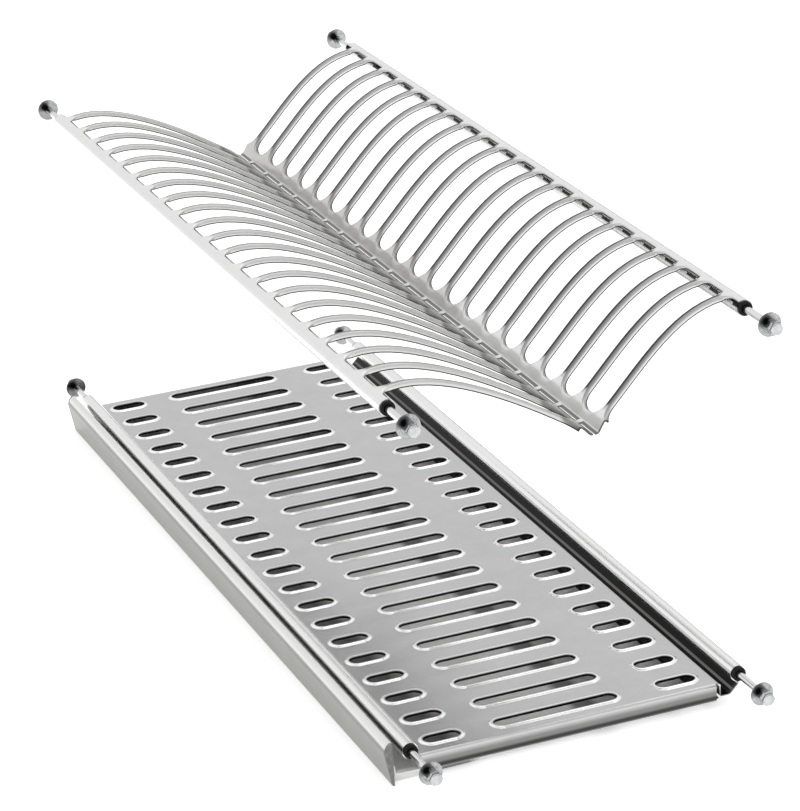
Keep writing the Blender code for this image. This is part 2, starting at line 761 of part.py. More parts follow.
clear_scene()
parts = bpy.data.collections.new("cabinet_dish_drainer")
bpy.context.scene.collection.children.link(parts)
materials = {
    "rack": make_material("rack_steel", (0.62, 0.63, 0.64), 0.32, 1.0),
    "tray": make_material("tray_steel", (0.70, 0.71, 0.72), 0.40, 1.0),
    "strip": make_material("strip_metal", (0.72, 0.72, 0.71), 0.45, 1.0),
    "cap": make_material("cap_plastic", (0.45, 0.45, 0.44), 0.50, 0.0),
    "bush": make_material("bush_plastic", (0.02, 0.02, 0.02), 0.45, 0.0),
    "pin": make_material("pin_steel", (0.78, 0.78, 0.78), 0.20, 1.0),
    "washer": make_material("washer_zinc", (0.55, 0.56, 0.57), 0.35, 1.0),
    "cap_nut": make_material("cap_nut_zinc", (0.60, 0.61, 0.62), 0.30, 1.0),
    "spring": make_material("spring_steel", (0.50, 0.50, 0.50), 0.35, 1.0),
    "spring_stop": make_material("spring_stop_plastic", (0.05, 0.05, 0.05), 0.50, 0.0),
}
middle = add_empty("drainer_middle", (0, -CENTER_Y, -CENTER_Z))
make_plate_rack(middle)
make_glass_rack(middle)
make_tray(middle)
make_strip(middle)
make_ends(middle)
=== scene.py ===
import math

import bmesh
import bpy
from mathutils import Matrix, Vector
from mathutils.geometry import delaunay_2d_cdt


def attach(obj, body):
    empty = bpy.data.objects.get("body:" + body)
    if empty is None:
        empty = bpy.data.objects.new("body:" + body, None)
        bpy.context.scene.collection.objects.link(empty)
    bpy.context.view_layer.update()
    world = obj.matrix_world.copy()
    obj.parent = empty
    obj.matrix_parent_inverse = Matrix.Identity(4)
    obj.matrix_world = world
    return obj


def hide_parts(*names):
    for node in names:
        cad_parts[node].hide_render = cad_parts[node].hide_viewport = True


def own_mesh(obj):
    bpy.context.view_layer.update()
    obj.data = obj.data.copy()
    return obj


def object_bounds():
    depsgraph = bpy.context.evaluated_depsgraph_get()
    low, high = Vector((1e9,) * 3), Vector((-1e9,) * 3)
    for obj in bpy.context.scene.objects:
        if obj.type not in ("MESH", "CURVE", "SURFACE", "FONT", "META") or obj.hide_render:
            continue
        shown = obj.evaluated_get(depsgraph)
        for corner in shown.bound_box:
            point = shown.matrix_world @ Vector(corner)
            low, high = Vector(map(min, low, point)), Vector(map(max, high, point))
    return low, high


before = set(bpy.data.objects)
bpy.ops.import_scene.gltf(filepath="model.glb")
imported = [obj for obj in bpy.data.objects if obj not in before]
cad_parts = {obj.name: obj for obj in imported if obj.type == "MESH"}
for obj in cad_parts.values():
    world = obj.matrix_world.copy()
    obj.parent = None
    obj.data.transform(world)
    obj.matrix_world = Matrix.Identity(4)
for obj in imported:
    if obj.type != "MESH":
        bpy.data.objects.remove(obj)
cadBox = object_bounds()
print("frame loaded:", len(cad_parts), "nodes")

# All sizes are metres. The sheets are described from the middle between the two
# lower tubes and from the top of the flat sheet; place moves them into the frame.
place = {"y": -0.001825, "z": -0.1232}
sheet = {
    "cells": 21, "pitch": 0.033, "thickness": 0.001, "mergeDistance": 0.000002,
    "rollRadius": 0.005, "rollFacets": 30, "rollSweep": 300,
    "bendPieces": 3, "bendShare": 0.45,  # a bend takes up to this share of the straight beside it
}
smoothing = {"sheetDegrees": 40, "turnedDegrees": 30, "wireDegrees": 60, "faceWeight": 60}
grainHeight = 0.0001  # of a bump at full strength
halfLength = sheet["cells"] * sheet["pitch"] / 2


class Value:
    # one output of a shader tree, so that maths on it reads as an ordinary sum
    def __init__(self, owner, socket):
        self.owner = owner
        self.socket = socket

    def calc(self, operation, left, right):
        return self.owner.add("ShaderNodeMath", {"operation": operation}, {0: left, 1: right})

    def __add__(self, other):
        return self.calc("ADD", self, other)

    def __radd__(self, other):
        return self.calc("ADD", other, self)

    def __sub__(self, other):
        return self.calc("SUBTRACT", self, other)

    def __rsub__(self, other):
        return self.calc("SUBTRACT", other, self)

    def __mul__(self, other):
        return self.calc("MULTIPLY", self, other)

    def __rmul__(self, other):
        return self.calc("MULTIPLY", other, self)


class Shading:
    # a shader tree that is filled through one method
    def __init__(self, tree):
        self.tree = tree
        self.tree.nodes.clear()

    def add(self, kind, settings=None, sockets=None, output=0):
        node = self.tree.nodes.new(kind)
        for key, value in (settings or {}).items():
            if key == "stops":
                ramp = node.color_ramp
                while len(ramp.elements) < len(value):
                    ramp.elements.new(1.0)
                for element, (position, level) in zip(ramp.elements, value):
                    element.position = position
                    element.color = (*grey(level), 1.0)
            else:
                setattr(node, key, value)
        for key, value in (sockets or {}).items():
            if isinstance(value, Value):
                self.tree.links.new(value.socket, node.inputs[key])
            else:
                node.inputs[key].default_value = value
        return Value(self, node.outputs[output] if node.outputs else None)

    def mixColour(self, factor, first, second):
        # a plain colour is a tuple of three and gets its alpha here
        first, second = ((*side, 1.0) if isinstance(side, tuple) else side for side in (first, second))
        return self.add("ShaderNodeMix", {"data_type": "RGBA"}, {0: factor, 6: first, 7: second}, output=2)

    def noise(self, scale, detail=3.0, roughness=0.5, stretch=(1, 1, 1)):
        spot = self.add("ShaderNodeTexCoord", output="Object")
        spread = self.add("ShaderNodeMapping", sockets={"Vector": spot, "Scale": stretch})
        return self.add("ShaderNodeTexNoise", sockets={
            "Vector": spread, "Scale": scale, "Detail": detail, "Roughness": roughness,
        })

    def band(self, value, span, soft):
        # one between the two ends of the span and nothing outside
        rise, fall = (
            self.add("ShaderNodeMapRange", {"interpolation_type": "SMOOTHSTEP"}, {
                "Value": value, "From Min": edge - soft, "From Max": edge + soft,
                "To Min": before, "To Max": 1.0 - before,
            })
            for edge, before in zip(span, (0.0, 1.0))
        )
        return rise * fall

    def paintLightPatches(self, colour, paintedLightPatches):
        # lays painted light and painted shade as tints over spans of x, y, z, of cell, the distance from the
        # nearest rib's middle, or of reach, the distance from the middle of the racks
        spot = self.add("ShaderNodeTexCoord", output="Object")
        axes = {}
        for number, axis in enumerate("xyz"):
            axes[axis] = self.add("ShaderNodeSeparateXYZ", {}, {0: spot}, number)
        axes["cell"] = spot.calc("PINGPONG", axes["x"], sheet["pitch"] / 2)
        axes["reach"] = spot.calc("ABSOLUTE", axes["x"], 0.0)
        for patch in paintedLightPatches:
            mask = patch["share"]
            for axis, distance in axes.items():
                if axis in patch:
                    span = [limit + place.get(axis, 0.0) for limit in patch[axis]]
                    mask = self.band(distance, span, patch["soft"]) * mask
            colour = self.mixColour(mask, colour, patch["tint"])
        return colour

    def stored(self, name):
        return self.add("ShaderNodeAttribute", {"attribute_name": name}, output=2)

    def finish(self, sockets, grain, strength):
        # the surface with its grain as a bump, and the tree's end
        sockets["Normal"] = self.add("ShaderNodeBump", sockets={
            "Strength": strength, "Distance": grainHeight, "Height": grain,
        })
        surface = self.add("ShaderNodeBsdfPrincipled", sockets=sockets)
        self.add("ShaderNodeOutputMaterial", sockets={"Surface": surface})


def grey(level):
    return (level, level, level)


def newMaterial(name):
    material = bpy.data.materials.new(name)
    material.use_nodes = True
    return material, Shading(material.node_tree)


def rolledSteel(name, values):
    # cold rolled sheet: long faint streaks along the tubes, a little mottling, then painted light and shade
    # on patches, rims and undersides
    material, look = newMaterial(name)
    streaks = look.noise(1.0, detail=2.0, stretch=values["streakStretch"])
    mottling = look.noise(values["mottleScale"], detail=4.0, roughness=0.6)
    colour = look.mixColour(mottling, values["dark"], values["light"])
    colour = look.paintLightPatches(colour, values["paintedLightPatches"])
    # rims get painted shade and painted highlights from the tone stored on their vertices
    if "paintedRimShadeTint" in values:
        paintedTone = look.stored("rimShade")
        # faces that look down take a painted underside tone: painted shade on the plate rack, painted light
        # on the glass rack
        paintedUndersideMask = look.stored("facesDown") * values["paintedUndersideShare"]
        colour = look.mixColour(paintedUndersideMask, colour, values["paintedUndersideTint"])
        for share, tint in ((values["paintedRimShare"], "paintedRimShadeTint"), (-values["paintedRimShare"], "paintedRimHighlightTint")):
            colour = look.mixColour(paintedTone.calc("MAXIMUM", paintedTone * share, 0.0), colour, values[tint])
    look.finish({
        "Base Color": colour,
        "Metallic": values["metallic"],
        "Roughness": values["roughness"] + (streaks - 0.5) * values["spread"],
    }, streaks, values["bump"])
    return material


def turnedMetal(name, values):
    # small turned or plated pieces: fine noise that breaks up the shine
    material, look = newMaterial(name)
    grain = look.noise(values["grainScale"], roughness=0.6, stretch=values.get("grainStretch", (1, 1, 1)))
    colour = look.mixColour(grain, values["dark"], values["light"])
    # the washer's painted reflection of the nut
    if "seatReflectionTint" in values:
        colour = look.mixColour(look.stored("turnShade"), colour, values["seatReflectionTint"])
    # painted light and shade patches, where a piece has them
    if "paintedLightPatches" in values:
        colour = look.paintLightPatches(colour, values["paintedLightPatches"])
    look.finish({
        "Base Color": colour,
        "Metallic": 1.0,
        "Roughness": values["roughness"] + (grain - 0.5) * values["spread"],
    }, grain, values["bump"])
    return material


def mouldedPlastic(name, values):
    # matt moulded plastic with a fine spark-eroded grain
    material, look = newMaterial(name)
    grain = look.noise(values["grainScale"], detail=2.0)
    clouds = look.noise(values["cloudScale"], detail=2.0)
    look.finish({
        "Base Color": look.mixColour(clouds, values["dark"], values["light"]),
        "Roughness": values["roughness"] + (clouds - 0.5) * values["spread"],
        "Specular IOR Level": values["specular"],
    }, grain, values["bump"])
    return material


# The patches are painted reflections and painted shade, standing for what polished steel mirrors in these
# places.
# Their y and z are measured as the sheets are.
plateSteel = {
    "dark": grey(0.79), "light": (0.87, 0.87, 0.86), "metallic": 0.6, "roughness": 0.20, "spread": 0.08,
    "streakStretch": (6.0, 500.0, 500.0), "mottleScale": 60.0, "bump": 0.05,
    # painted shade and painted highlight tints for the rims
    "paintedRimShadeTint": grey(0.012), "paintedRimHighlightTint": (0.95, 0.95, 0.94), "paintedRimShare": 1.4,
    # painted shade on the undersides
    "paintedUndersideTint": (0.40, 0.39, 0.37), "paintedUndersideShare": 0.5,
    "paintedLightPatches": (
        # painted shade on the front wing, the valley's front wall and the left of its rear wall
        {"y": (-0.108, 0.012), "z": (0.196, 0.270), "soft": 0.006, "share": 0.35, "tint": (0.36, 0.35, 0.33)},
        {"y": (0.006, 0.0235), "z": (0.18, 0.21), "soft": 0.002, "share": 0.65, "tint": (0.10, 0.095, 0.085)},
        {"y": (0.0270, 0.042), "z": (0.180, 0.206), "x": (-0.40, 0.10), "soft": 0.004, "share": 0.35,
         "tint": (0.30, 0.28, 0.25)},
        # painted shade in the valley's cut ends, the ends of the slots at the rear tube, and the drain slots
        {"y": (-0.002, 0.046), "z": (0.180, 0.206), "reach": (0.3378, 0.3450), "soft": 0.0003, "share": 0.92,
         "tint": (0.03, 0.03, 0.028)},
        {"y": (0.1200, 0.1300), "z": (0.2572, 0.2603), "cell": (0.010, 0.018), "soft": 0.0005, "share": 1.0,
         "tint": grey(0.004)},
        {"y": (0.0228, 0.0275), "z": (0.180, 0.1905), "cell": (-0.01, 0.0142), "soft": 0.0004, "share": 0.90,
         "tint": (0.07, 0.07, 0.065)},
    ),
}
grooveWall = (0.1068, 0.1165)
glassSteel = {
    "dark": (0.52, 0.52, 0.525), "light": grey(0.61), "metallic": 1.0, "roughness": 0.18, "spread": 0.06,
    "streakStretch": (6.0, 500.0, 500.0), "mottleScale": 45.0, "bump": 0.05,
    # painted shade and painted highlight tints for the rims, and painted light on the undersides
    "paintedRimShadeTint": grey(0.01), "paintedRimHighlightTint": grey(0.95), "paintedRimShare": 1.0, "paintedUndersideTint": grey(0.8), "paintedUndersideShare": 0.9,
    "paintedLightPatches": (
        # painted highlights on the tubes, then painted shade and painted highlights along the groove from its
        # front edge to the rear tube
        {"z": (0.0016, 0.02), "soft": 0.0008, "share": 0.9, "tint": (0.92, 0.92, 0.915)},
        {"y": (0.102, 0.1032), "z": (-0.0016, 0.001), "soft": 0.0004, "share": 0.8, "tint": (0.9, 0.9, 0.88)},
        {"y": (0.1025, 0.1060), "z": (-0.012, -0.0022), "soft": 0.0003, "share": 1.0, "tint": grey(0.004)},
        {"y": (0.1060, 0.12), "z": (-0.0024, 0.0030), "soft": 0.0004, "share": 0.9, "tint": (0.9, 0.9, 0.89)},
        {"y": grooveWall, "z": (-0.012, -0.0066), "soft": 0.0003, "share": 1.0, "tint": grey(0.004)},
        {"y": grooveWall, "z": (-0.0066, -0.0058), "soft": 0.0002, "share": 1.0, "tint": (0.11, 0.1, 0.09)},
        {"y": grooveWall, "z": (-0.0058, -0.0026), "soft": 0.0003, "share": 1.0, "tint": grey(0.004)},
        # painted dark reflection on the folded short ends, blackest on their lower half
        {"reach": (0.3450, 0.36), "z": (-0.018, -0.0035), "soft": 0.003, "share": 0.9,
         "tint": (0.08, 0.078, 0.07)},
        {"reach": (0.3440, 0.36), "z": (-0.016, -0.0082), "soft": 0.0012, "share": 0.98, "tint": grey(0.004)},
    ),
}
traySteel = {
    "dark": (0.95, 0.95, 0.93), "light": (1.0, 1.0, 0.98), "metallic": 0.1, "roughness": 0.45,
    "spread": 0.06, "streakStretch": (8.0, 300.0, 300.0), "mottleScale": 30.0, "bump": 0.03,
    "paintedLightPatches": (
        # painted reflections: dark bands where the tray mirrors the solid sheet of the glass rack above, and
        # a darker far half
        {"y": (-0.096, -0.0700), "soft": 0.0060, "share": 0.85, "tint": grey(0.13)},
        {"y": (0.0150, 0.0310), "soft": 0.0040, "share": 0.85, "tint": grey(0.13)},
        {"y": (0.0660, 0.0780), "soft": 0.0040, "share": 0.60, "tint": grey(0.12)},
        {"y": (0.0935, 0.1100), "soft": 0.0006, "share": 0.97, "tint": grey(0.01)},
        {"y": (-0.062, 0.1100), "x": (-0.40, -0.10), "soft": 0.12, "share": 0.75, "tint": grey(0.12)},
    ),
}
stripMetal = {
    "dark": (0.18, 0.18, 0.165), "light": (0.26, 0.26, 0.24), "metallic": 1.0, "roughness": 0.26,
    "spread": 0.08, "streakStretch": (3.0, 900.0, 900.0), "mottleScale": 20.0, "bump": 0.08,
    "paintedLightPatches": (
        # the rounded top painted light, as a painted reflection of the bright sky
        {"z": (0.0085, 0.02), "soft": 0.0015, "share": 0.9, "tint": (0.88, 0.88, 0.87)},
    ),
}
plasticGrain = {"grainScale": 2500.0, "cloudScale": 300.0, "bump": 0.15, "spread": 0.1}
capPlastic = {
    **plasticGrain, "dark": (0.10, 0.10, 0.095), "light": (0.34, 0.34, 0.33), "roughness": 0.5,
    "specular": 0.4,
}
bushPlastic = {**plasticGrain, "dark": grey(0.004), "light": grey(0.010), "roughness": 0.42, "specular": 0.15}
stopPlastic = {**plasticGrain, "dark": grey(0.04), "light": grey(0.06), "roughness": 0.5, "specular": 0.4}
pinSteel = {
    "dark": (0.74, 0.74, 0.75), "light": grey(0.86), "roughness": 0.16, "spread": 0.08,
    "grainScale": 1.0, "grainStretch": (2500.0, 120.0, 120.0), "bump": 0.10,
}
washerZinc = {
    "dark": (0.16, 0.165, 0.17), "light": (0.62, 0.63, 0.635), "roughness": 0.14, "spread": 0.10,
    # with a near-black tint for the painted reflection of the nut
    "grainScale": 420.0, "bump": 0.12, "seatReflectionTint": grey(0.006),
}
nutZinc = {
    "dark": (0.30, 0.31, 0.315), "light": (0.74, 0.75, 0.755), "roughness": 0.12, "spread": 0.10,
    "grainScale": 300.0, "bump": 0.10,
    "paintedLightPatches": (
        # a painted dark reflection around the edge of the nut's end
        {"reach": (0.3902, 0.3912), "soft": 0.0003, "share": 0.85, "tint": grey(0.02)},
    ),
}
springWire = {
    "dark": (0.42, 0.42, 0.43), "light": (0.56, 0.56, 0.57), "roughness": 0.32, "spread": 0.10,
    "grainScale": 900.0, "bump": 0.08,
}
materials = {
    "plateRack": rolledSteel("plateRackSteel", plateSteel),
    "glassRack": rolledSteel("glassRackSteel", glassSteel),
    "tray": rolledSteel("trayMetal", traySteel),
    "strip": rolledSteel("stripMetal", stripMetal),
    "cap": mouldedPlastic("stripCapPlastic", capPlastic),
    "bush": mouldedPlastic("bushPlastic", bushPlastic),
    "spring_stop": mouldedPlastic("stopPlastic", stopPlastic),
    "pin": turnedMetal("pinSteel", pinSteel),
    "washer": turnedMetal("washerZinc", washerZinc),
    "cap_nut": turnedMetal("capNutZinc", nutZinc),
    "spring": turnedMetal("springWire", springWire),
}
print("materials made:", len(materials))


def link(name, data):
    thing = bpy.data.objects.new(name, data)
    bpy.context.scene.collection.objects.link(thing)
    return thing


def bake(thing):
    # turns an object with modifiers into one with a plain mesh
    bpy.context.view_layer.update()
    graph = bpy.context.evaluated_depsgraph_get()
    mesh = bpy.data.meshes.new_from_object(thing.evaluated_get(graph))
    thing.modifiers.clear()
    thing.data = mesh
    return thing


def meshFrom(work, name):
    mesh = bpy.data.meshes.new(name)
    work.to_mesh(mesh)
    work.free()
    return mesh


def smooth(thing, degrees):
    # smooth shading that keeps the large faces flat
    thing.data.polygons.foreach_set("use_smooth", [True] * len(thing.data.polygons))
    thing.data.set_sharp_from_angle(angle=math.radians(degrees))
    weights = thing.modifiers.new("weights", "WEIGHTED_NORMAL")
    weights.keep_sharp = True
    weights.weight = smoothing["faceWeight"]
    return bake(thing)


def markUnderside(thing):
    # keeps on every vertex how far its face looks down, for the painted underside tone
    mesh = thing.data
    down = mesh.attributes.new("facesDown", "FLOAT", "POINT")
    down.data.foreach_set("value", [max(0.0, -vertex.normal.z) for vertex in mesh.vertices])


def thicken(thing, thickness):
    wall = thing.modifiers.new("wall", "SOLIDIFY")
    wall.thickness = thickness
    wall.offset = 0
    wall.use_even_offset = True
    return bake(thing)


def intoFrame(thing, y=0.0, z=0.0):
    thing.data.transform(Matrix.Translation((0, y + place["y"], z + place["z"])))


def dress(thing, material):
    thing.data.materials.clear()
    thing.data.materials.append(material)


def nodeTree(name, inputs):
    # an empty Geometry Nodes tree with named inputs
    tree = bpy.data.node_groups.new(name, "GeometryNodeTree")
    tree.interface.new_socket("Geometry", in_out="INPUT", socket_type="NodeSocketGeometry")
    for label, kind in inputs:
        tree.interface.new_socket(label, in_out="INPUT", socket_type="NodeSocket" + kind)
    tree.interface.new_socket("Geometry", in_out="OUTPUT", socket_type="NodeSocketGeometry")
    return tree, tree.nodes.new("NodeGroupInput").outputs


def step(tree, kind, settings, sockets):
    # adds one node and gives its first output
    node = tree.nodes.new(kind)
    for key, value in settings.items():
        setattr(node, key, value)
    for key, value in sockets.items():
        if isinstance(value, bpy.types.NodeSocket):
            tree.links.new(value, node.inputs[key])
        else:
            node.inputs[key].default_value = value
    return node.outputs[0]


def closeTree(tree, given, real):
    # gives the real geometry its material and hands it out
    finished = step(tree, "GeometryNodeSetMaterial", {}, {"Geometry": real, "Material": given["Finish"]})
    tree.links.new(finished, tree.nodes.new("NodeGroupOutput").inputs[0])
    return tree


def runTree(thing, tree, values):
    # sets the inputs by their identifiers and turns the result into a plain mesh
    modifier = thing.modifiers.new("tree", "NODES")
    modifier.node_group = tree
    for item in tree.interface.items_tree:
        if item.in_out == "INPUT" and item.name in values:
            modifier[item.identifier] = values[item.name]
    return bake(thing)


def repeatTree():
    # lays copies of one cell side by side along X and joins them
    tree, given = nodeTree("repeatCells", (
        ("Count", "Int"), ("Pitch", "Float"), ("First", "Float"), ("Merge", "Float"), ("Finish", "Material"),
    ))
    first = step(tree, "ShaderNodeCombineXYZ", {}, {"X": given["First"]})
    pitch = step(tree, "ShaderNodeCombineXYZ", {}, {"X": given["Pitch"]})
    row = step(tree, "GeometryNodeMeshLine", {"mode": "OFFSET"}, {
        "Count": given["Count"], "Start Location": first, "Offset": pitch,
    })
    copies = step(tree, "GeometryNodeInstanceOnPoints", {}, {"Points": row, "Instance": given["Geometry"]})
    real = step(tree, "GeometryNodeRealizeInstances", {}, {"Geometry": copies})
    joined = step(tree, "GeometryNodeMergeByDistance", {}, {"Geometry": real, "Distance": given["Merge"]})
    return closeTree(tree, given, joined)


def springTree():
    # a round wire wound into an open coil along Z
    tree, given = nodeTree("windSpring", (
        ("Turns", "Float"), ("Radius", "Float"), ("Wire", "Float"), ("Height", "Float"), ("Steps", "Int"),
        ("Sides", "Int"), ("Finish", "Material"),
    ))
    coil = step(tree, "GeometryNodeCurveSpiral", {}, {
        "Resolution": given["Steps"], "Rotations": given["Turns"], "Start Radius": given["Radius"],
        "End Radius": given["Radius"], "Height": given["Height"],
    })
    wire = step(tree, "GeometryNodeCurvePrimitiveCircle", {}, {
        "Resolution": given["Sides"], "Radius": given["Wire"],
    })
    tube = step(tree, "GeometryNodeCurveToMesh", {}, {
        "Curve": coil, "Profile Curve": wire, "Fill Caps": True,
    })
    real = step(tree, "GeometryNodeRealizeInstances", {}, {"Geometry": tube})
    return closeTree(tree, given, real)


class BentLine:
    # the middle of a bent sheet, that flat points are laid along
    def __init__(self, points):
        self.points = [Vector(point) for point in points]
        self.lengths = [0.0]
        self.normals = []
        for first, second in zip(self.points, self.points[1:]):
            self.lengths.append(self.lengths[-1] + (second - first).length)
            along = (second - first).normalized()
            self.normals.append(Vector((-along.y, along.x)))

    def lay(self, along, above):
        for number, length in enumerate(self.lengths):
            if abs(length - along) < sheet["mergeDistance"]:
                before = self.normals[max(number - 1, 0)]
                after = self.normals[min(number, len(self.normals) - 1)]
                shared = before + after
                return self.points[number] + shared * (2 / shared.length_squared) * above
        number = max(index for index, length in enumerate(self.lengths[:-1]) if length < along)
        share = (along - self.lengths[number]) / (self.lengths[number + 1] - self.lengths[number])
        return self.points[number].lerp(self.points[number + 1], share) + self.normals[number] * above

    def nearest(self, point):
        # how far along the line it comes closest to the point
        best = None
        for number, (first, second) in enumerate(zip(self.points, self.points[1:])):
            along = second - first
            share = min(max((point - first).dot(along) / along.length_squared, 0), 1)
            gap = (first + along * share - point).length
            if best is None or gap < best[0]:
                best = (gap, self.lengths[number] + along.length * share)
        return best[1]


def rollPoints(centerY, centerZ, startDegrees, turn):
    # a long edge rolled into a tube
    points = []
    for facet in range(sheet["rollFacets"] + 1):
        angle = math.radians(startDegrees + turn * sheet["rollSweep"] * facet / sheet["rollFacets"])
        y = centerY + sheet["rollRadius"] * math.cos(angle)
        z = centerZ + sheet["rollRadius"] * math.sin(angle)
        points.append((y, z))
    return points


def curvePoints(corners, pieces):
    # the inner points of a curve with two handles
    points = []
    for piece in range(1, pieces):
        share = piece / pieces
        rest = 1 - share
        weights = (rest ** 3, 3 * rest ** 2 * share, 3 * rest * share ** 2, share ** 3)
        pairs = list(zip(weights, corners))
        points.append(tuple(sum(weight * corner[axis] for weight, corner in pairs) for axis in (0, 1)))
    return points


def roundOff(points, radius):
    # rounds every inner corner of an open line
    pieces = sheet["bendPieces"]
    rounded = [points[0]]
    for before, corner, after in zip(points, points[1:], points[2:]):
        corner = Vector(corner)
        back = Vector(before) - corner
        ahead = Vector(after) - corner
        reach = min(radius, back.length * sheet["bendShare"], ahead.length * sheet["bendShare"])
        begin = corner + back.normalized() * reach
        finish = corner + ahead.normalized() * reach
        for piece in range(pieces + 1):
            share = piece / pieces
            rest = 1 - share
            rounded.append(tuple(begin * rest * rest + corner * 2 * rest * share + finish * share * share))
    rounded.append(points[-1])
    return rounded


def slotLoop(slot):
    points = []
    corners = (
        (1, slot["start"], 1, slot["startCorner"], -90),
        (1, slot["end"], -1, slot["endCorner"], 0),
        (-1, slot["end"], -1, slot["endCorner"], 90),
        (-1, slot["start"], 1, slot["startCorner"], 180),
    )
    for side, edge, inward, radius, startDegrees in corners:
        centerX = slot["x"] + side * (slot["width"] / 2 - radius)
        centerU = edge + inward * radius
        for piece in range(slot["pieces"] + 1):
            angle = math.radians(startDegrees + 90 * piece / slot["pieces"])
            point = Vector((centerX + radius * math.cos(angle), centerU + radius * math.sin(angle)))
            if not points or (point - points[-1]).length > sheet["mergeDistance"]:
                points.append(point)
    if (points[0] - points[-1]).length <= sheet["mergeDistance"]:
        points.pop()
    return points


def isInside(point, loop):
    found = False
    for first, second in zip(loop, loop[1:] + loop[:1]):
        if (first[1] > point[1]) != (second[1] > point[1]):
            if point[0] < first[0] + (point[1] - first[1]) * (second[0] - first[0]) / (second[1] - first[1]):
                found = not found
    return found


def pressCell(line, slots, extraFolds):
    # one pitch of the sheet, cut flat, rims turned up or down, then bent along the line
    half = sheet["pitch"] / 2
    total = line.lengths[-1]
    outline = [(-half, 0), (half, 0), (half, total), (-half, total)]
    loops = [slotLoop(slot) for slot in slots]
    points = []
    edges = []
    for loop in [outline] + loops:
        first = len(points)
        points.extend(Vector(point) for point in loop)
        edges.extend((first + number, first + (number + 1) % len(loop)) for number in range(len(loop)))
    for length in line.lengths[1:-1] + extraFolds:
        edges.append((len(points), len(points) + 1))
        points.extend((Vector((-half, length)), Vector((half, length))))
    corners, _, triangles, _, _, _ = delaunay_2d_cdt(points, edges, [], 0, sheet["mergeDistance"])
    work = bmesh.new()
    # each vertex keeps its painted tone: painted shade above zero, painted highlight below zero
    work.verts.layers.float.new("rimShade")
    placed = [work.verts.new((corner[0], corner[1], 0)) for corner in corners]
    for triangle in triangles:
        middle = sum((corners[number] for number in triangle), Vector((0, 0))) / len(triangle)
        if isInside(middle, outline) and not any(isInside(middle, loop) for loop in loops):
            work.faces.new([placed[number] for number in triangle])
    bmesh.ops.delete(work, geom=[vertex for vertex in work.verts if not vertex.link_faces], context="VERTS")
    for slot in slots:
        turnRim(work, slot, half)
    for vertex in work.verts:
        laid = line.lay(vertex.co.y, vertex.co.z)
        vertex.co = (vertex.co.x, laid.x, laid.y)
    bmesh.ops.recalc_face_normals(work, faces=work.faces)
    return work


def drawOut(work, edges):
    # extrudes open edges and gives the new points and the new open edges
    made = bmesh.ops.extrude_edge_only(work, edges=edges)["geom"]
    fresh = [item for item in made if isinstance(item, bmesh.types.BMVert)]
    drawn = [item for item in made if isinstance(item, bmesh.types.BMEdge)]
    return fresh, [edge for edge in drawn if edge.verts[0] in fresh and edge.verts[1] in fresh]


def turnRim(work, slot, half):
    near = sheet["mergeDistance"]
    edges = []
    for edge in work.edges:
        middle = (edge.verts[0].co + edge.verts[1].co) / 2
        across = abs(middle.x - slot["x"]) < slot["width"] / 2 + near and abs(middle.x) < half - near
        if edge.is_boundary and across and slot["start"] - near < middle.y < slot["end"] + near:
            edges.append(edge)
    if not slot["rim"] or not edges:
        return
    rest = {}
    layer = work.verts.layers.float["rimShade"]
    low = slot["start"] + slot["startCorner"]
    high = slot["end"] - slot["endCorner"]
    for edge in edges:
        for vertex in edge.verts:
            atStart = vertex.co.y < (slot["start"] + slot["end"]) / 2
            across = slot["width"] / 2 - slot["startCorner" if atStart else "endCorner"]
            coreX = min(max(vertex.co.x, slot["x"] - across), slot["x"] + across)
            rest[vertex] = (vertex.co.copy(), Vector((coreX, min(max(vertex.co.y, low), high), 0)))
            # the flat edge beside a rib gets painted shade too
            if slot["tubeEnd"] is not None:
                into = (rest[vertex][1] - rest[vertex][0]).normalized()
                vertex[layer] = paintedRibShade(slot, into, vertex.co.y, 0)
    # each step of the rim is drawn out and gets its painted tone
    for inward, depth, stepPaintedTone in slot["rim"]:
        fresh, edges = drawOut(work, edges)
        following = {}
        for vertex in fresh:
            source = min(rest, key=lambda old: (old.co - vertex.co).length_squared)
            flat, core = rest[source]
            into = (core - flat).normalized()
            down = depth
            paintedTone = stepPaintedTone
            if slot["tubeEnd"] is not None:
                reach = min(abs(flat.y - slot["tubeEnd"]) / slot["tubeCorner"], 1)
                down = depth * (slot["tubeShare"] + (1 - slot["tubeShare"]) * reach)
                paintedTone = max(stepPaintedTone, paintedRibShade(slot, into, flat.y, down / slot["rim"][-1][1]))
            vertex.co = flat + into * inward
            vertex.co.z = -down
            vertex[layer] = paintedTone
            following[vertex] = (flat, core)
        rest = following


# how the painted shade on the ribs' rims is spread
paintedRibShadeSettings = {
    "atTube": 0.55, "fadeLength": 0.060, "least": 0.6, "onDrop": 0.3, "cornerFade": 3,
    "flank": 0.55, "flankFade": 0.8, "slotEnd": 0.6, "slotEndRise": 2,
}


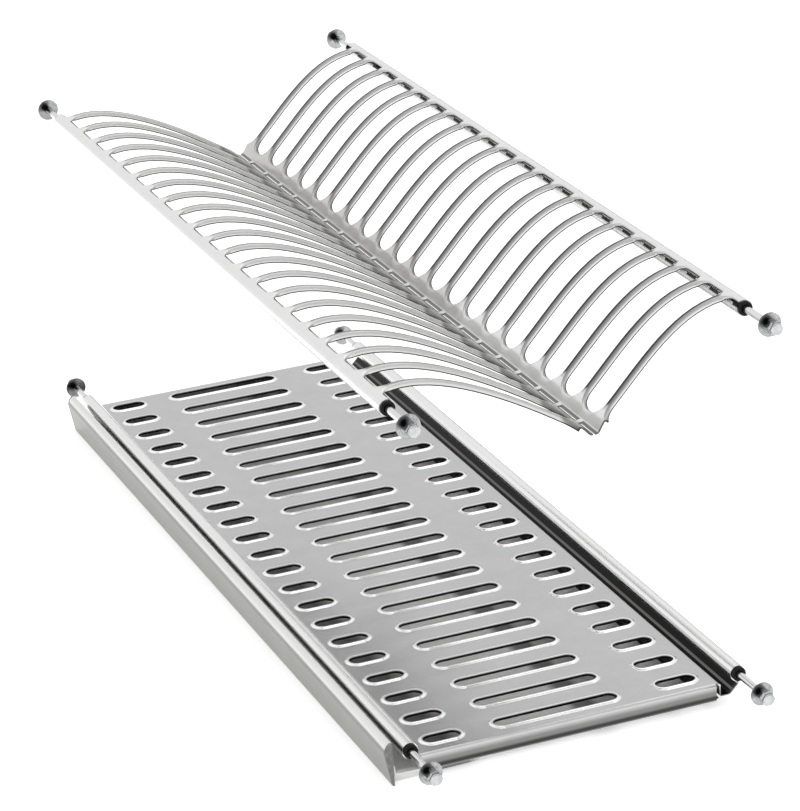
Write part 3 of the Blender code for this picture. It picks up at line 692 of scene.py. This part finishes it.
def paintedRibShade(slot, into, along, drop):
    # how much painted shade a rib's rim gets, for dark reflections: most on its -X side, less down the drop,
    # and some at the top of its +X side; both grow away from the tube, and the slots' ends get more with
    # depth
    away = min(abs(along - slot["tubeEnd"]) / paintedRibShadeSettings["fadeLength"], 1)
    away = (paintedRibShadeSettings["atTube"] + (1 - paintedRibShadeSettings["atTube"]) * away) * slot["paintedRibShare"]
    straight = 1.0
    onDrop = paintedRibShadeSettings["onDrop"]
    if drop == 0:
        straight = max(0.0, 1 - abs(into.y) * paintedRibShadeSettings["cornerFade"])
        onDrop = 1.0
    facing = max(0.0, -into.x) * (paintedRibShadeSettings["least"] + (1 - paintedRibShadeSettings["least"]) * away) * straight * onDrop
    flank = max(0.0, into.x) * max(0.0, paintedRibShadeSettings["flank"] - drop * paintedRibShadeSettings["flankFade"]) * away * straight
    bottom = abs(into.y) * min(drop * paintedRibShadeSettings["slotEndRise"], 1) * paintedRibShadeSettings["slotEnd"]
    return max(facing, flank, bottom)


def rimSteps(values):
    # a quarter round followed by a straight drop: inset, depth and painted shade of each step
    radius = values["rimRadius"]
    steps = []
    for piece in range(1, values["rimPieces"] + 1):
        angle = math.radians(90 * piece / values["rimPieces"])
        steps.append((radius * math.sin(angle), radius * (1 - math.cos(angle)), 0.0))
    for share, paintedTone in values["dropTones"]:
        steps.append((radius, values["rimDepth"] * share, paintedTone))
    return steps


repeatCells = repeatTree()
windSpring = springTree()


def makeRack(name, node, cell, shapeEnds, values, y, z):
    # repeats one pressed cell, shapes the short ends, then gives the sheet its wall and its place
    rack = link(name, meshFrom(cell, name))
    runTree(rack, repeatCells, {
        "Count": sheet["cells"], "Pitch": sheet["pitch"], "First": -halfLength + sheet["pitch"] / 2,
        "Merge": sheet["mergeDistance"], "Finish": materials[name],
    })
    work = bmesh.new()
    work.from_mesh(rack.data)
    shapeEnds(work, values)
    work.to_mesh(rack.data)
    work.free()
    thicken(rack, sheet["thickness"])
    markUnderside(rack)
    smooth(rack, smoothing["sheetDegrees"])
    intoFrame(rack, y, z)
    dress(rack, materials[name])
    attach(rack, "racks")
    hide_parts(node)


plateRack = {
    "frontY": -0.115, "frontZ": 0.238, "span": 0.243, "rise": 0.018, "leaveDegrees": 114.7,
    "rearRollDegrees": 90, "frontHandles": ((0.028, 0.018), (0.080, -0.008)),
    "valley": ((0.134, -0.045), (0.1373, -0.0495), (0.1427, -0.0495), (0.148, -0.041)),
    "rearHandles": ((0.178, -0.012), (0.203, 0.024)),
    "frontPieces": 18, "rearPieces": 16, "bendRadius": 0.0016,
    "slotWidth": 0.0275, "tubeCorner": 0.0066, "valleyCorner": 0.012, "cornerPieces": 7,
    "toTube": 0.003, "toFloor": 0.0072, "rimRadius": 0.0010, "rimDepth": 0.0030, "rimPieces": 3,
    "rimAtTube": 0.35, "dropTones": ((0.72, 0.0), (0.80, 0.9), (1, 0.9)),
    "ribShares": {"start": 0.25, "end": 1.0},  # slots at the rear tube take the full painted shade
    "drainWidth": 0.027, "drainLength": 0.0014, "drainPieces": 3, "valleyEdge": 0.33825, "valleyMargin": 0.03,
}


def makePlateRack(values):
    front = rollPoints(0, 0, values["leaveDegrees"] + sheet["rollSweep"], -1)
    rear = rollPoints(values["span"], values["rise"], values["rearRollDegrees"], -1)
    valley = list(values["valley"])
    frontWing = curvePoints((front[-1], *values["frontHandles"], valley[0]), values["frontPieces"])
    rearWing = curvePoints((valley[-1], *values["rearHandles"], rear[0]), values["rearPieces"])
    bend = roundOff([frontWing[-1]] + valley + [rearWing[0]], values["bendRadius"])[1:-1]
    line = BentLine(front + frontWing + bend + rearWing + rear)
    tubeFront = line.lengths[len(front) - 1]
    tubeRear = line.lengths[len(line.points) - len(rear)]
    middle = line.nearest((Vector(valley[1]) + Vector(valley[2])) / 2)
    halfFloor = (valley[2][0] - valley[1][0]) / 2
    growth = values["rimRadius"]
    rim = rimSteps(values)
    atTube = values["tubeCorner"] + growth
    atValley = values["valleyCorner"] + growth
    spans = (
        (tubeFront + values["toTube"], middle - halfFloor - values["toFloor"], "start", atTube, atValley),
        (middle + halfFloor + values["toFloor"], tubeRear - values["toTube"], "end", atValley, atTube),
    )
    slots = []
    for side in (-1, 1):
        for begin, finish, tube, startCorner, endCorner in spans:
            slot = {
                "x": side * sheet["pitch"] / 2, "start": begin - growth, "end": finish + growth,
                "width": values["slotWidth"] + sheet["thickness"] + 2 * growth, "startCorner": startCorner,
                "endCorner": endCorner, "pieces": values["cornerPieces"], "rim": rim,
                "tubeShare": values["rimAtTube"], "tubeCorner": atTube, "paintedRibShare": values["ribShares"][tube],
            }
            slot["tubeEnd"] = slot[tube]
            slots.append(slot)
    halfDrain = values["drainLength"] / 2
    slots.append({
        "x": 0, "start": middle - halfDrain, "end": middle + halfDrain, "width": values["drainWidth"],
        "startCorner": halfDrain, "endCorner": halfDrain, "pieces": values["drainPieces"], "rim": [],
    })
    cell = pressCell(line, slots, [])
    makeRack("plateRack", "plate_rack", cell, trimEnds, values, values["frontY"], values["frontZ"])


def trimEnds(work, values):
    # the valley stops short of the tubes' ends
    edge = values["valleyEdge"]
    low = values["valley"][0][0] - values["valleyMargin"]
    high = values["valley"][3][0] + values["valleyMargin"]
    for side in (-1, 1):
        bmesh.ops.bisect_plane(work, geom=work.verts[:] + work.edges[:] + work.faces[:],
                               plane_co=(side * edge, 0, 0), plane_no=(1, 0, 0), dist=sheet["mergeDistance"])
    doomed = []
    for face in work.faces:
        middle = face.calc_center_median()
        if abs(middle.x) > edge and low < middle.y < high:
            doomed.append(face)
    bmesh.ops.delete(work, geom=doomed, context="FACES")


makePlateRack(plateRack)
print("plate rack made")

# rim holds each step's inset, its depth, negative where it rises, and its painted tone from painted
# highlight, -1, to painted shade, 1
glassRack = {
    "span": 0.2307, "slotSpans": ((0.012, 0.044), (0.061, 0.154), (0.176, 0.210)), "opening": 0.0108,
    "cornerPieces": 8, "frontRollDegrees": -30,
    "rim": (
        (0.0006, -0.0001, -0.5), (0.0013, -0.0005, -1), (0.0019, -0.0009, -1), (0.0024, -0.0011, -1),
        (0.0028, -0.0010, -0.2), (0.0030, -0.0007, 0.9), (0.0031, 0.0006, 1.0),
    ),
    "grooveStart": 0.2175, "grooveDepth": 0.0085, "grooveRiseDegrees": 45, "bendRadius": 0.0013,
    "flangeStart": 0.007, "flangeEnd": 0.215, "flangeDepth": 0.0125, "flangeLip": 0.005,
    "flangeRadius": 0.0014, "flangeFlat": 0.002,
}


def makeGlassRack(values):
    radius = sheet["rollRadius"]
    front = rollPoints(0, radius, values["frontRollDegrees"], 1)
    rear = rollPoints(values["span"], radius, -values["grooveRiseDegrees"], 1)
    rise = math.tan(math.radians(values["grooveRiseDegrees"]))
    start = values["grooveStart"]
    depth = values["grooveDepth"]
    groove = [(start, 0), (start, -depth), (rear[0][0] - (rear[0][1] + depth) / rise, -depth)]
    bend = roundOff([front[-1]] + groove + [rear[0]], values["bendRadius"])[1:-1]
    line = BentLine(front + bend + rear)
    origin = line.lengths[len(front) - 1]
    growth = values["rim"][-1][0]
    width = values["opening"] + sheet["thickness"] + 2 * growth
    slots = [{
        "x": 0, "start": origin + begin, "end": origin + finish, "width": width, "startCorner": width / 2,
        "endCorner": width / 2, "pieces": values["cornerPieces"], "rim": values["rim"], "tubeEnd": None,
    } for begin, finish in values["slotSpans"]]
    cell = pressCell(line, slots, [origin + values["flangeStart"], origin + values["flangeEnd"]])
    makeRack("glassRack", "glass_rack", cell, foldEnds, values, -values["span"] / 2, -sheet["thickness"] / 2)


def foldEnds(work, values):
    # the short ends fold down and turn in below to carry the tray
    near = sheet["mergeDistance"] * 10
    outer = halfLength - sheet["thickness"] / 2
    drop = values["flangeDepth"] - sheet["thickness"]
    radius = values["flangeRadius"]
    corner = [
        (outer - radius - values["flangeFlat"], 0), (outer, 0), (outer, -drop),
        (outer - values["flangeLip"] + sheet["thickness"] / 2, -drop),
    ]
    steps = roundOff(corner, radius)[1:]
    for side in (-1, 1):
        edges = []
        for edge in work.edges:
            first, second = (vertex.co for vertex in edge.verts)
            atEnd = abs(first.x - side * halfLength) < near and abs(second.x - side * halfLength) < near
            low = min(first.y, second.y)
            high = max(first.y, second.y)
            level = abs(first.z) < near and abs(second.z) < near
            if atEnd and level and low > values["flangeStart"] - near and high < values["flangeEnd"] + near:
                edges.append(edge)
        for vertex in {vertex for edge in edges for vertex in edge.verts}:
            vertex.co.x = side * steps[0][0]
        for x, z in steps[1:]:
            fresh, edges = drawOut(work, edges)
            for vertex in fresh:
                vertex.co.x = side * x
                vertex.co.z = z
    bmesh.ops.recalc_face_normals(work, faces=work.faces)


makeGlassRack(glassRack)
print("glass rack made")

tray = {
    "thickness": 0.0008, "play": 0.0005, "draft": 0.0005, "frontTop": -0.0045, "floorFront": -0.0172,
    "floorRear": -0.0136, "rearWall": 0.212, "rearRim": 0.005, "gap": 0.0003, "foldRadius": 0.0009,
    "foldFrom": 0.3,  # edges that turn by more radians than this are rounded
}
strip = {
    "inner": -0.0116, "outer": -0.017, "foot": -0.0130, "top": 0.0125, "shoulder": 0.005, "bottom": -0.0176,
    "topPieces": 10, "capThickness": 0.0015, "gap": 0.0003,
    "edge": 0.0003, "edgePieces": 2, "edgeDegrees": 35,
}


def makeTray(values):
    lipTop = -glassRack["flangeDepth"] + sheet["thickness"]
    rimZ = lipTop + values["gap"] + values["thickness"] / 2
    rimX = halfLength - sheet["thickness"] - values["play"]
    wallX = halfLength - glassRack["flangeLip"] - values["play"] - values["thickness"] / 2
    frontY = strip["inner"] + values["gap"] + values["thickness"] / 2
    columns = (-rimX, -wallX, -wallX + values["draft"], wallX - values["draft"], wallX, rimX)
    rows = (
        frontY, frontY + values["draft"], values["rearWall"] - values["draft"], values["rearWall"],
        values["rearWall"] + values["rearRim"],
    )
    work = bmesh.new()
    bmesh.ops.create_grid(work, x_segments=len(columns) - 1, y_segments=len(rows) - 1, size=0.5)
    for vertex in work.verts:
        column = round((vertex.co.x + 0.5) * (len(columns) - 1))
        row = round((vertex.co.y + 0.5) * (len(rows) - 1))
        z = rimZ
        if column in (2, 3) and row == 1:
            z = values["floorFront"]
        if column in (2, 3) and row == 2:
            z = values["floorRear"]
        if row == 0:
            z = values["frontTop"]
        vertex.co = (columns[column], rows[row], z)
    inner = [edge for edge in work.edges if not edge.is_boundary]
    folds = [edge for edge in inner if edge.calc_face_angle(0) > values["foldFrom"]]
    bmesh.ops.bevel(work, geom=folds, offset=values["foldRadius"], segments=sheet["bendPieces"], profile=0.5,
                    affect="EDGES")
    pan = link("dripTray", meshFrom(work, "dripTray"))
    thicken(pan, values["thickness"])
    smooth(pan, smoothing["sheetDegrees"])
    intoFrame(pan, -glassRack["span"] / 2)
    dress(pan, materials["tray"])
    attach(pan, "tray")
    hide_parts("drip_tray")


def stripOutline(values):
    points = [(values["foot"], values["bottom"]), (values["inner"], values["bottom"])]
    depth = values["inner"] - values["outer"]
    height = values["top"] - values["shoulder"]
    for piece in range(values["topPieces"] + 1):
        angle = math.radians(90 * piece / values["topPieces"])
        y = values["inner"] - depth * math.sin(angle)
        points.append((y, values["shoulder"] + height * math.cos(angle)))
    return points


def makeBar(name, node, slot, values, low, high):
    # the strip's outline drawn out along X with lightly broken edges
    work = bmesh.new()
    face = work.faces.new([work.verts.new((low, y, z)) for y, z in stripOutline(values)])
    drawn = bmesh.ops.extrude_face_region(work, geom=[face])
    for item in drawn["geom"]:
        if isinstance(item, bmesh.types.BMVert):
            item.co.x = high
    bmesh.ops.recalc_face_normals(work, faces=work.faces)
    bar = link(name, meshFrom(work, name))
    broken = bar.modifiers.new("edge", "BEVEL")
    broken.width = values["edge"]
    broken.segments = values["edgePieces"]
    broken.limit_method = "ANGLE"
    broken.angle_limit = math.radians(values["edgeDegrees"])
    bake(bar)
    smooth(bar, smoothing["sheetDegrees"])
    intoFrame(bar, -glassRack["span"] / 2)
    dress(bar, materials[slot])
    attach(bar, "tray")
    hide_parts(node)


def makeStrip(values):
    cap = halfLength - values["capThickness"]
    inner = cap - values["gap"]
    makeBar("trayFront", "tray_front", "strip", values, -inner, inner)
    makeBar("stripCap_left", "tray_front_cap_left", "cap", values, -halfLength, -cap)
    makeBar("stripCap_right", "tray_front_cap_right", "cap", values, cap, halfLength)


makeTray(tray)
makeStrip(strip)
print("drip tray and its front strip made")

pinEnd = {
    "washerFace": 0.382 - halfLength, "washerRadius": 0.008, "washerThickness": 0.0012, "washerEdge": 0.00025,
    "rodRadius": 0.0025, "rodPoint": 0.0004, "boreRadius": 0.00295, "rodInNut": 0.006,
    "flangeRadius": 0.0049, "flangeLength": 0.002, "flangeEdge": 0.0005, "flangeFront": 0.3,
    "flangeBack": 0.4, "shankRadius": 0.004, "shankLength": 0.012,
    "collarRadius": 0.0037, "collarLength": 0.003, "tailLength": 0.018, "gap": 0.0003,
    "springRadius": 0.00335, "springWire": 0.00045, "springLength": 0.040, "springTurns": 16.0,
    "springSteps": 14, "wireSides": 8, "stopRadius": 0.004, "stopLength": 0.005, "stopEdge": 0.0003,
    "travel": 0.012, "nutFlats": 0.004, "nutCorner": 0.00462, "nutShoulder": 0.0086, "nutLength": 0.010,
    "nutTip": 0.0024, "nutBore": 0.0065, "nutFoot": 0.0043, "nutFootHeight": 0.0004, "domePieces": 4,
    # the last of these spreads the painted reflection of the nut on the washer
    "seatRadius": 0.0052, "seatDepth": 0.0002, "seatReflectionSettings": {"slope": 2.6, "start": 1.2, "reach": 1.45},
    "sides": {"bush": 36, "pin": 28, "washer": 48, "cap_nut": 48, "spring_stop": 24},
}


def turned(profile, sides, flats=0.0):
    # turns pairs of distance along X and radius; flats cuts six flats where they reach further
    work = bmesh.new()
    rings = []
    for along, radius in profile:
        if radius <= 0:
            rings.append([work.verts.new((along, 0, 0))])
            continue
        ring = []
        for number in range(sides):
            angle = 2 * math.pi * number / sides
            reach = radius
            if flats:
                fold = (angle + math.pi / 6) % (math.pi / 3) - math.pi / 6
                reach = min(radius, flats / math.cos(fold))
            ring.append(work.verts.new((along, reach * math.sin(angle), reach * math.cos(angle))))
        rings.append(ring)
    pairs = list(zip(rings, rings[1:]))
    if len(rings[0]) > 1:
        pairs.append((rings[-1], rings[0]))
    for first, second in pairs:
        for number in range(sides):
            following = (number + 1) % sides
            corners = [first[number % len(first)], first[following % len(first)],
                       second[following % len(second)], second[number % len(second)]]
            corners = list(dict.fromkeys(corners))
            if len(corners) > 2:
                work.faces.new(corners)
    bmesh.ops.recalc_face_normals(work, faces=work.faces)
    return work


def endProfiles(values):
    # what is turned at one tube end, along X from the end of the sheet
    gap = values["gap"]
    face = values["washerFace"]
    back = face - values["washerThickness"]
    edge = values["washerEdge"]
    shank = -values["shankLength"]
    collar = shank - gap
    collarEnd = collar - values["collarLength"]
    tail = collarEnd - values["tailLength"]
    rod = values["rodRadius"]
    point = values["rodPoint"]
    tip = face + values["rodInNut"]
    bore = values["boreRadius"]
    wide = values["flangeRadius"]
    flange = gap + values["flangeLength"]
    ease = values["flangeEdge"]
    front = ease * values["flangeFront"]
    rear = ease * values["flangeBack"]
    stop = collarEnd - values["springLength"] - 2 * gap
    stopEnd = stop - values["stopLength"]
    seat = face - values["seatDepth"]
    nut = seat + gap
    blind = face + values["nutBore"]
    rise = values["nutLength"] - values["nutShoulder"]
    dome = []
    for piece in range(values["domePieces"] + 1):
        angle = math.radians(90 * piece / values["domePieces"])
        reach = values["nutTip"] + (values["nutCorner"] - values["nutTip"]) * math.cos(angle)
        dome.append((face + values["nutShoulder"] + rise * math.sin(angle), reach))
    return {
        "bush": [
            (flange, bore), (flange, wide - ease), (flange - front, wide - front), (flange - ease, wide),
            (gap + rear, wide), (gap, wide - rear), (gap, values["shankRadius"]),
            (shank, values["shankRadius"]), (shank, bore),
        ],
        "pin": [
            (tip, 0), (tip, rod - point), (tip - point, rod), (collar, rod), (collar, values["collarRadius"]),
            (collarEnd, values["collarRadius"]), (collarEnd, rod), (tail + point, rod), (tail, rod - point),
            (tail, 0),
        ],
        "washer": [
            (seat, bore), (seat, values["seatRadius"]), (face, values["seatRadius"] + values["seatDepth"]),
            (face, values["washerRadius"] - edge), (face - edge, values["washerRadius"]),
            (back + edge, values["washerRadius"]), (back, values["washerRadius"] - edge), (back, bore),
        ],
        "cap_nut": [
            (face + values["nutLength"], 0), *reversed(dome),
            (nut + values["nutFootHeight"], values["nutCorner"]), (nut, values["nutFoot"]), (nut, bore),
            (blind, bore), (blind, 0),
        ],
        "spring_stop": [
            (stop, 0), (stop, values["stopRadius"] - values["stopEdge"]),
            (stop - values["stopEdge"], values["stopRadius"]), (stopEnd, values["stopRadius"]), (stopEnd, 0),
        ],
    }


def placeEnd(thing, side, y, z):
    turn = Matrix.Identity(4) if side > 0 else Matrix.Rotation(math.pi, 4, "Z")
    thing.data.transform(Matrix.Translation((side * halfLength, y, z)) @ turn)


def paintSeatReflection(thing, values, y, z):
    # painted reflection: dark beside the nut towards the upper front, where the washer mirrors it
    paintedTone = values["seatReflectionSettings"]
    shades = []
    for vertex in thing.data.vertices:
        out = Vector((vertex.co.y - y, vertex.co.z - z))
        facing = (out.y - out.x) / (out.length * math.sqrt(2))
        near = paintedTone["reach"] - out.length / values["washerRadius"]
        shades.append(max(0.0, facing * paintedTone["slope"] - paintedTone["start"]) * near)
    seat = thing.data.attributes.new("turnShade", "FLOAT", "POINT")
    seat.data.foreach_set("value", shades)


def makeEnds(values):
    glassY = glassRack["span"] / 2
    glassZ = sheet["rollRadius"] - sheet["thickness"] / 2
    tubes = {
        "plate_front": (plateRack["frontY"], plateRack["frontZ"]),
        "plate_rear": (plateRack["frontY"] + plateRack["span"], plateRack["frontZ"] + plateRack["rise"]),
        "glass_front": (-glassY, glassZ),
        "glass_rear": (glassY, glassZ),
    }
    profiles = endProfiles(values)
    collarEnd = -values["shankLength"] - values["gap"] - values["collarLength"]
    inner = collarEnd - values["gap"] - values["springLength"]
    alongX = Matrix.Translation((inner + values["springWire"], 0, 0)) @ Matrix.Rotation(math.pi / 2, 4, "Y")
    for tube, (tubeY, tubeZ) in tubes.items():
        y = tubeY + place["y"]
        z = tubeZ + place["z"]
        for side, word in ((-1, "left"), (1, "right")):
            spot = tube + "_" + word
            pieces = {}
            for kind, profile in profiles.items():
                flats = values["nutFlats"] if kind == "cap_nut" else 0.0
                work = turned(profile, values["sides"][kind], flats)
                pieces[kind] = link(kind + "Shown_" + spot, meshFrom(work, kind))
            coil = link("springShown_" + spot, bpy.data.meshes.new("spring"))
            runTree(coil, windSpring, {
                "Turns": values["springTurns"], "Radius": values["springRadius"],
                "Wire": values["springWire"], "Height": values["springLength"] - 2 * values["springWire"],
                "Steps": values["springSteps"], "Sides": values["wireSides"], "Finish": materials["spring"],
            })
            coil.data.transform(alongX)
            pieces["spring"] = coil
            for kind, piece in pieces.items():
                smooth(piece, smoothing["wireDegrees" if kind == "spring" else "turnedDegrees"])
                placeEnd(piece, side, y, z)
                # the washer gets a painted reflection of the nut
                if kind == "washer":
                    paintSeatReflection(piece, values, y, z)
                dress(piece, materials[kind])
                onPin = kind in ("pin", "washer", "cap_nut")
                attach(piece, "pin_" + spot if onPin else "racks")
                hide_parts(kind + "_" + spot)
            "pin_push_" + spot
            side * (halfLength + inner)
            1 - values["travel"] / values["springLength"]
            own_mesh(coil)


makeEnds(pinEnd)
print("sprung pins made")

stage = {
    "floorSize": 30.0, "floorGap": 0.0002, "floorColour": (0.93, 0.93, 0.93, 1.0), "floorGlow": 0.45,
    "lampSpot": (-0.6, 0.7, 1.9), "lampSize": 1.4, "lampPower": 3.0,
    "sky": ((0.0, 1.0), (0.16, 0.98), (0.24, 0.88), (0.44, 0.86), (0.60, 0.97), (1.0, 1.0)),
    "skyFar": (-1.5, -0.45), "skySide": (-0.32, 1.5), "skySoft": 0.04, "skySideSoft": 0.12,
    "skyPlain": grey(0.95), "streakHeight": (0.035, 0.14), "streakAlong": (-0.25, 1.5),
    "streakSoft": 0.02, "streakShare": 0.92, "streakTint": grey(0.02),
}


def makeFloor(values):
    # a plain floor that the camera and mirroring surfaces see lit up to white, with its shadow kept
    work = bmesh.new()
    bmesh.ops.create_grid(work, x_segments=1, y_segments=1, size=values["floorSize"] / 2)
    floor = link("floor", meshFrom(work, "floor"))
    floor.data.transform(Matrix.Translation((0, 0, cadBox[0][2] - values["floorGap"])))
    material, look = newMaterial("floorPaint")
    camera = look.add("ShaderNodeLightPath", output="Is Camera Ray")
    glossy = look.add("ShaderNodeLightPath", output="Is Glossy Ray")
    through = look.add("ShaderNodeLightPath", output="Is Transmission Ray")
    seen = camera.calc("MAXIMUM", camera.calc("MAXIMUM", camera, glossy), through) * values["floorGlow"]
    paint = look.add("ShaderNodeBsdfDiffuse", sockets={"Color": values["floorColour"]})
    glow = look.add("ShaderNodeEmission", sockets={"Color": (1, 1, 1, 1), "Strength": seen})
    both = look.add("ShaderNodeAddShader", sockets={0: paint, 1: glow})
    look.add("ShaderNodeOutputMaterial", sockets={"Surface": both})
    dress(floor, material)


def makeWorld(values):
    # white to the camera; for reflections a soft sky on the far side with one dark streak low down
    world = bpy.data.worlds.new("studio")
    bpy.context.scene.world = world
    world.use_nodes = True
    look = Shading(world.node_tree)
    camera = look.add("ShaderNodeLightPath", output="Is Camera Ray")
    way = look.add("ShaderNodeTexCoord", output="Generated")
    across, along, height = (look.add("ShaderNodeSeparateXYZ", {}, {0: way}, number) for number in range(3))
    fade = look.add("ShaderNodeValToRGB", {"stops": values["sky"]}, {0: height})
    dark = look.band(height, values["streakHeight"], values["streakSoft"])
    dark = dark * look.band(along, values["streakAlong"], values["skySoft"]) * values["streakShare"]
    fade = look.mixColour(dark, fade, values["streakTint"])
    far = look.band(across, values["skyFar"], values["skySoft"])
    far = far * look.band(along, values["skySide"], values["skySideSoft"])
    fade = look.mixColour(far, values["skyPlain"], fade)
    colour = look.mixColour(camera, fade, grey(1.0))
    sky = look.add("ShaderNodeBackground", sockets={"Color": colour, "Strength": 1.0})
    look.add("ShaderNodeOutputWorld", sockets={"Surface": sky})


def makeLamp(values):
    lamp = bpy.data.lights.new("topLamp", "AREA")
    lamp.shape = "DISK"
    lamp.size = values["lampSize"]
    lamp.energy = values["lampPower"]
    holder = link("topLamp", lamp)
    holder.location = values["lampSpot"]
    holder.rotation_euler = (-Vector(values["lampSpot"])).to_track_quat("-Z", "Y").to_euler()


viewpoint = {
    "azimuth": 69.82, "elevation": 21.47, "roll": -3.86, "lens": 162.59, "sensor": 36.0, "clipEnd": 100,
    "spot": (2.2967, -0.825025, 0.9317),
}


def makeCamera(values):
    azimuth = math.radians(values["azimuth"])
    elevation = math.radians(values["elevation"])
    roll = math.radians(values["roll"])
    level = math.cos(elevation)
    back = Vector((math.sin(azimuth) * level, -math.cos(azimuth) * level, math.sin(elevation)))
    right = (-back).cross(Vector((0, 0, 1))).normalized()
    up = right.cross(-back)
    turnedRight = right * math.cos(roll) + up * math.sin(roll)
    turnedUp = up * math.cos(roll) - right * math.sin(roll)
    data = bpy.data.cameras.new("camera")
    data.lens = values["lens"]
    data.sensor_fit = "VERTICAL"
    data.sensor_height = values["sensor"]
    data.clip_end = values["clipEnd"]
    camera = link("camera", data)
    columns = Matrix((turnedRight, turnedUp, back)).transposed().to_4x4()
    camera.matrix_world = Matrix.Translation(values["spot"]) @ columns
    bpy.context.scene.camera = camera


makeFloor(stage)
makeWorld(stage)
makeLamp(stage)
makeCamera(viewpoint)
bpy.context.scene.view_settings.view_transform = "Standard"
print("stage, light and camera made")
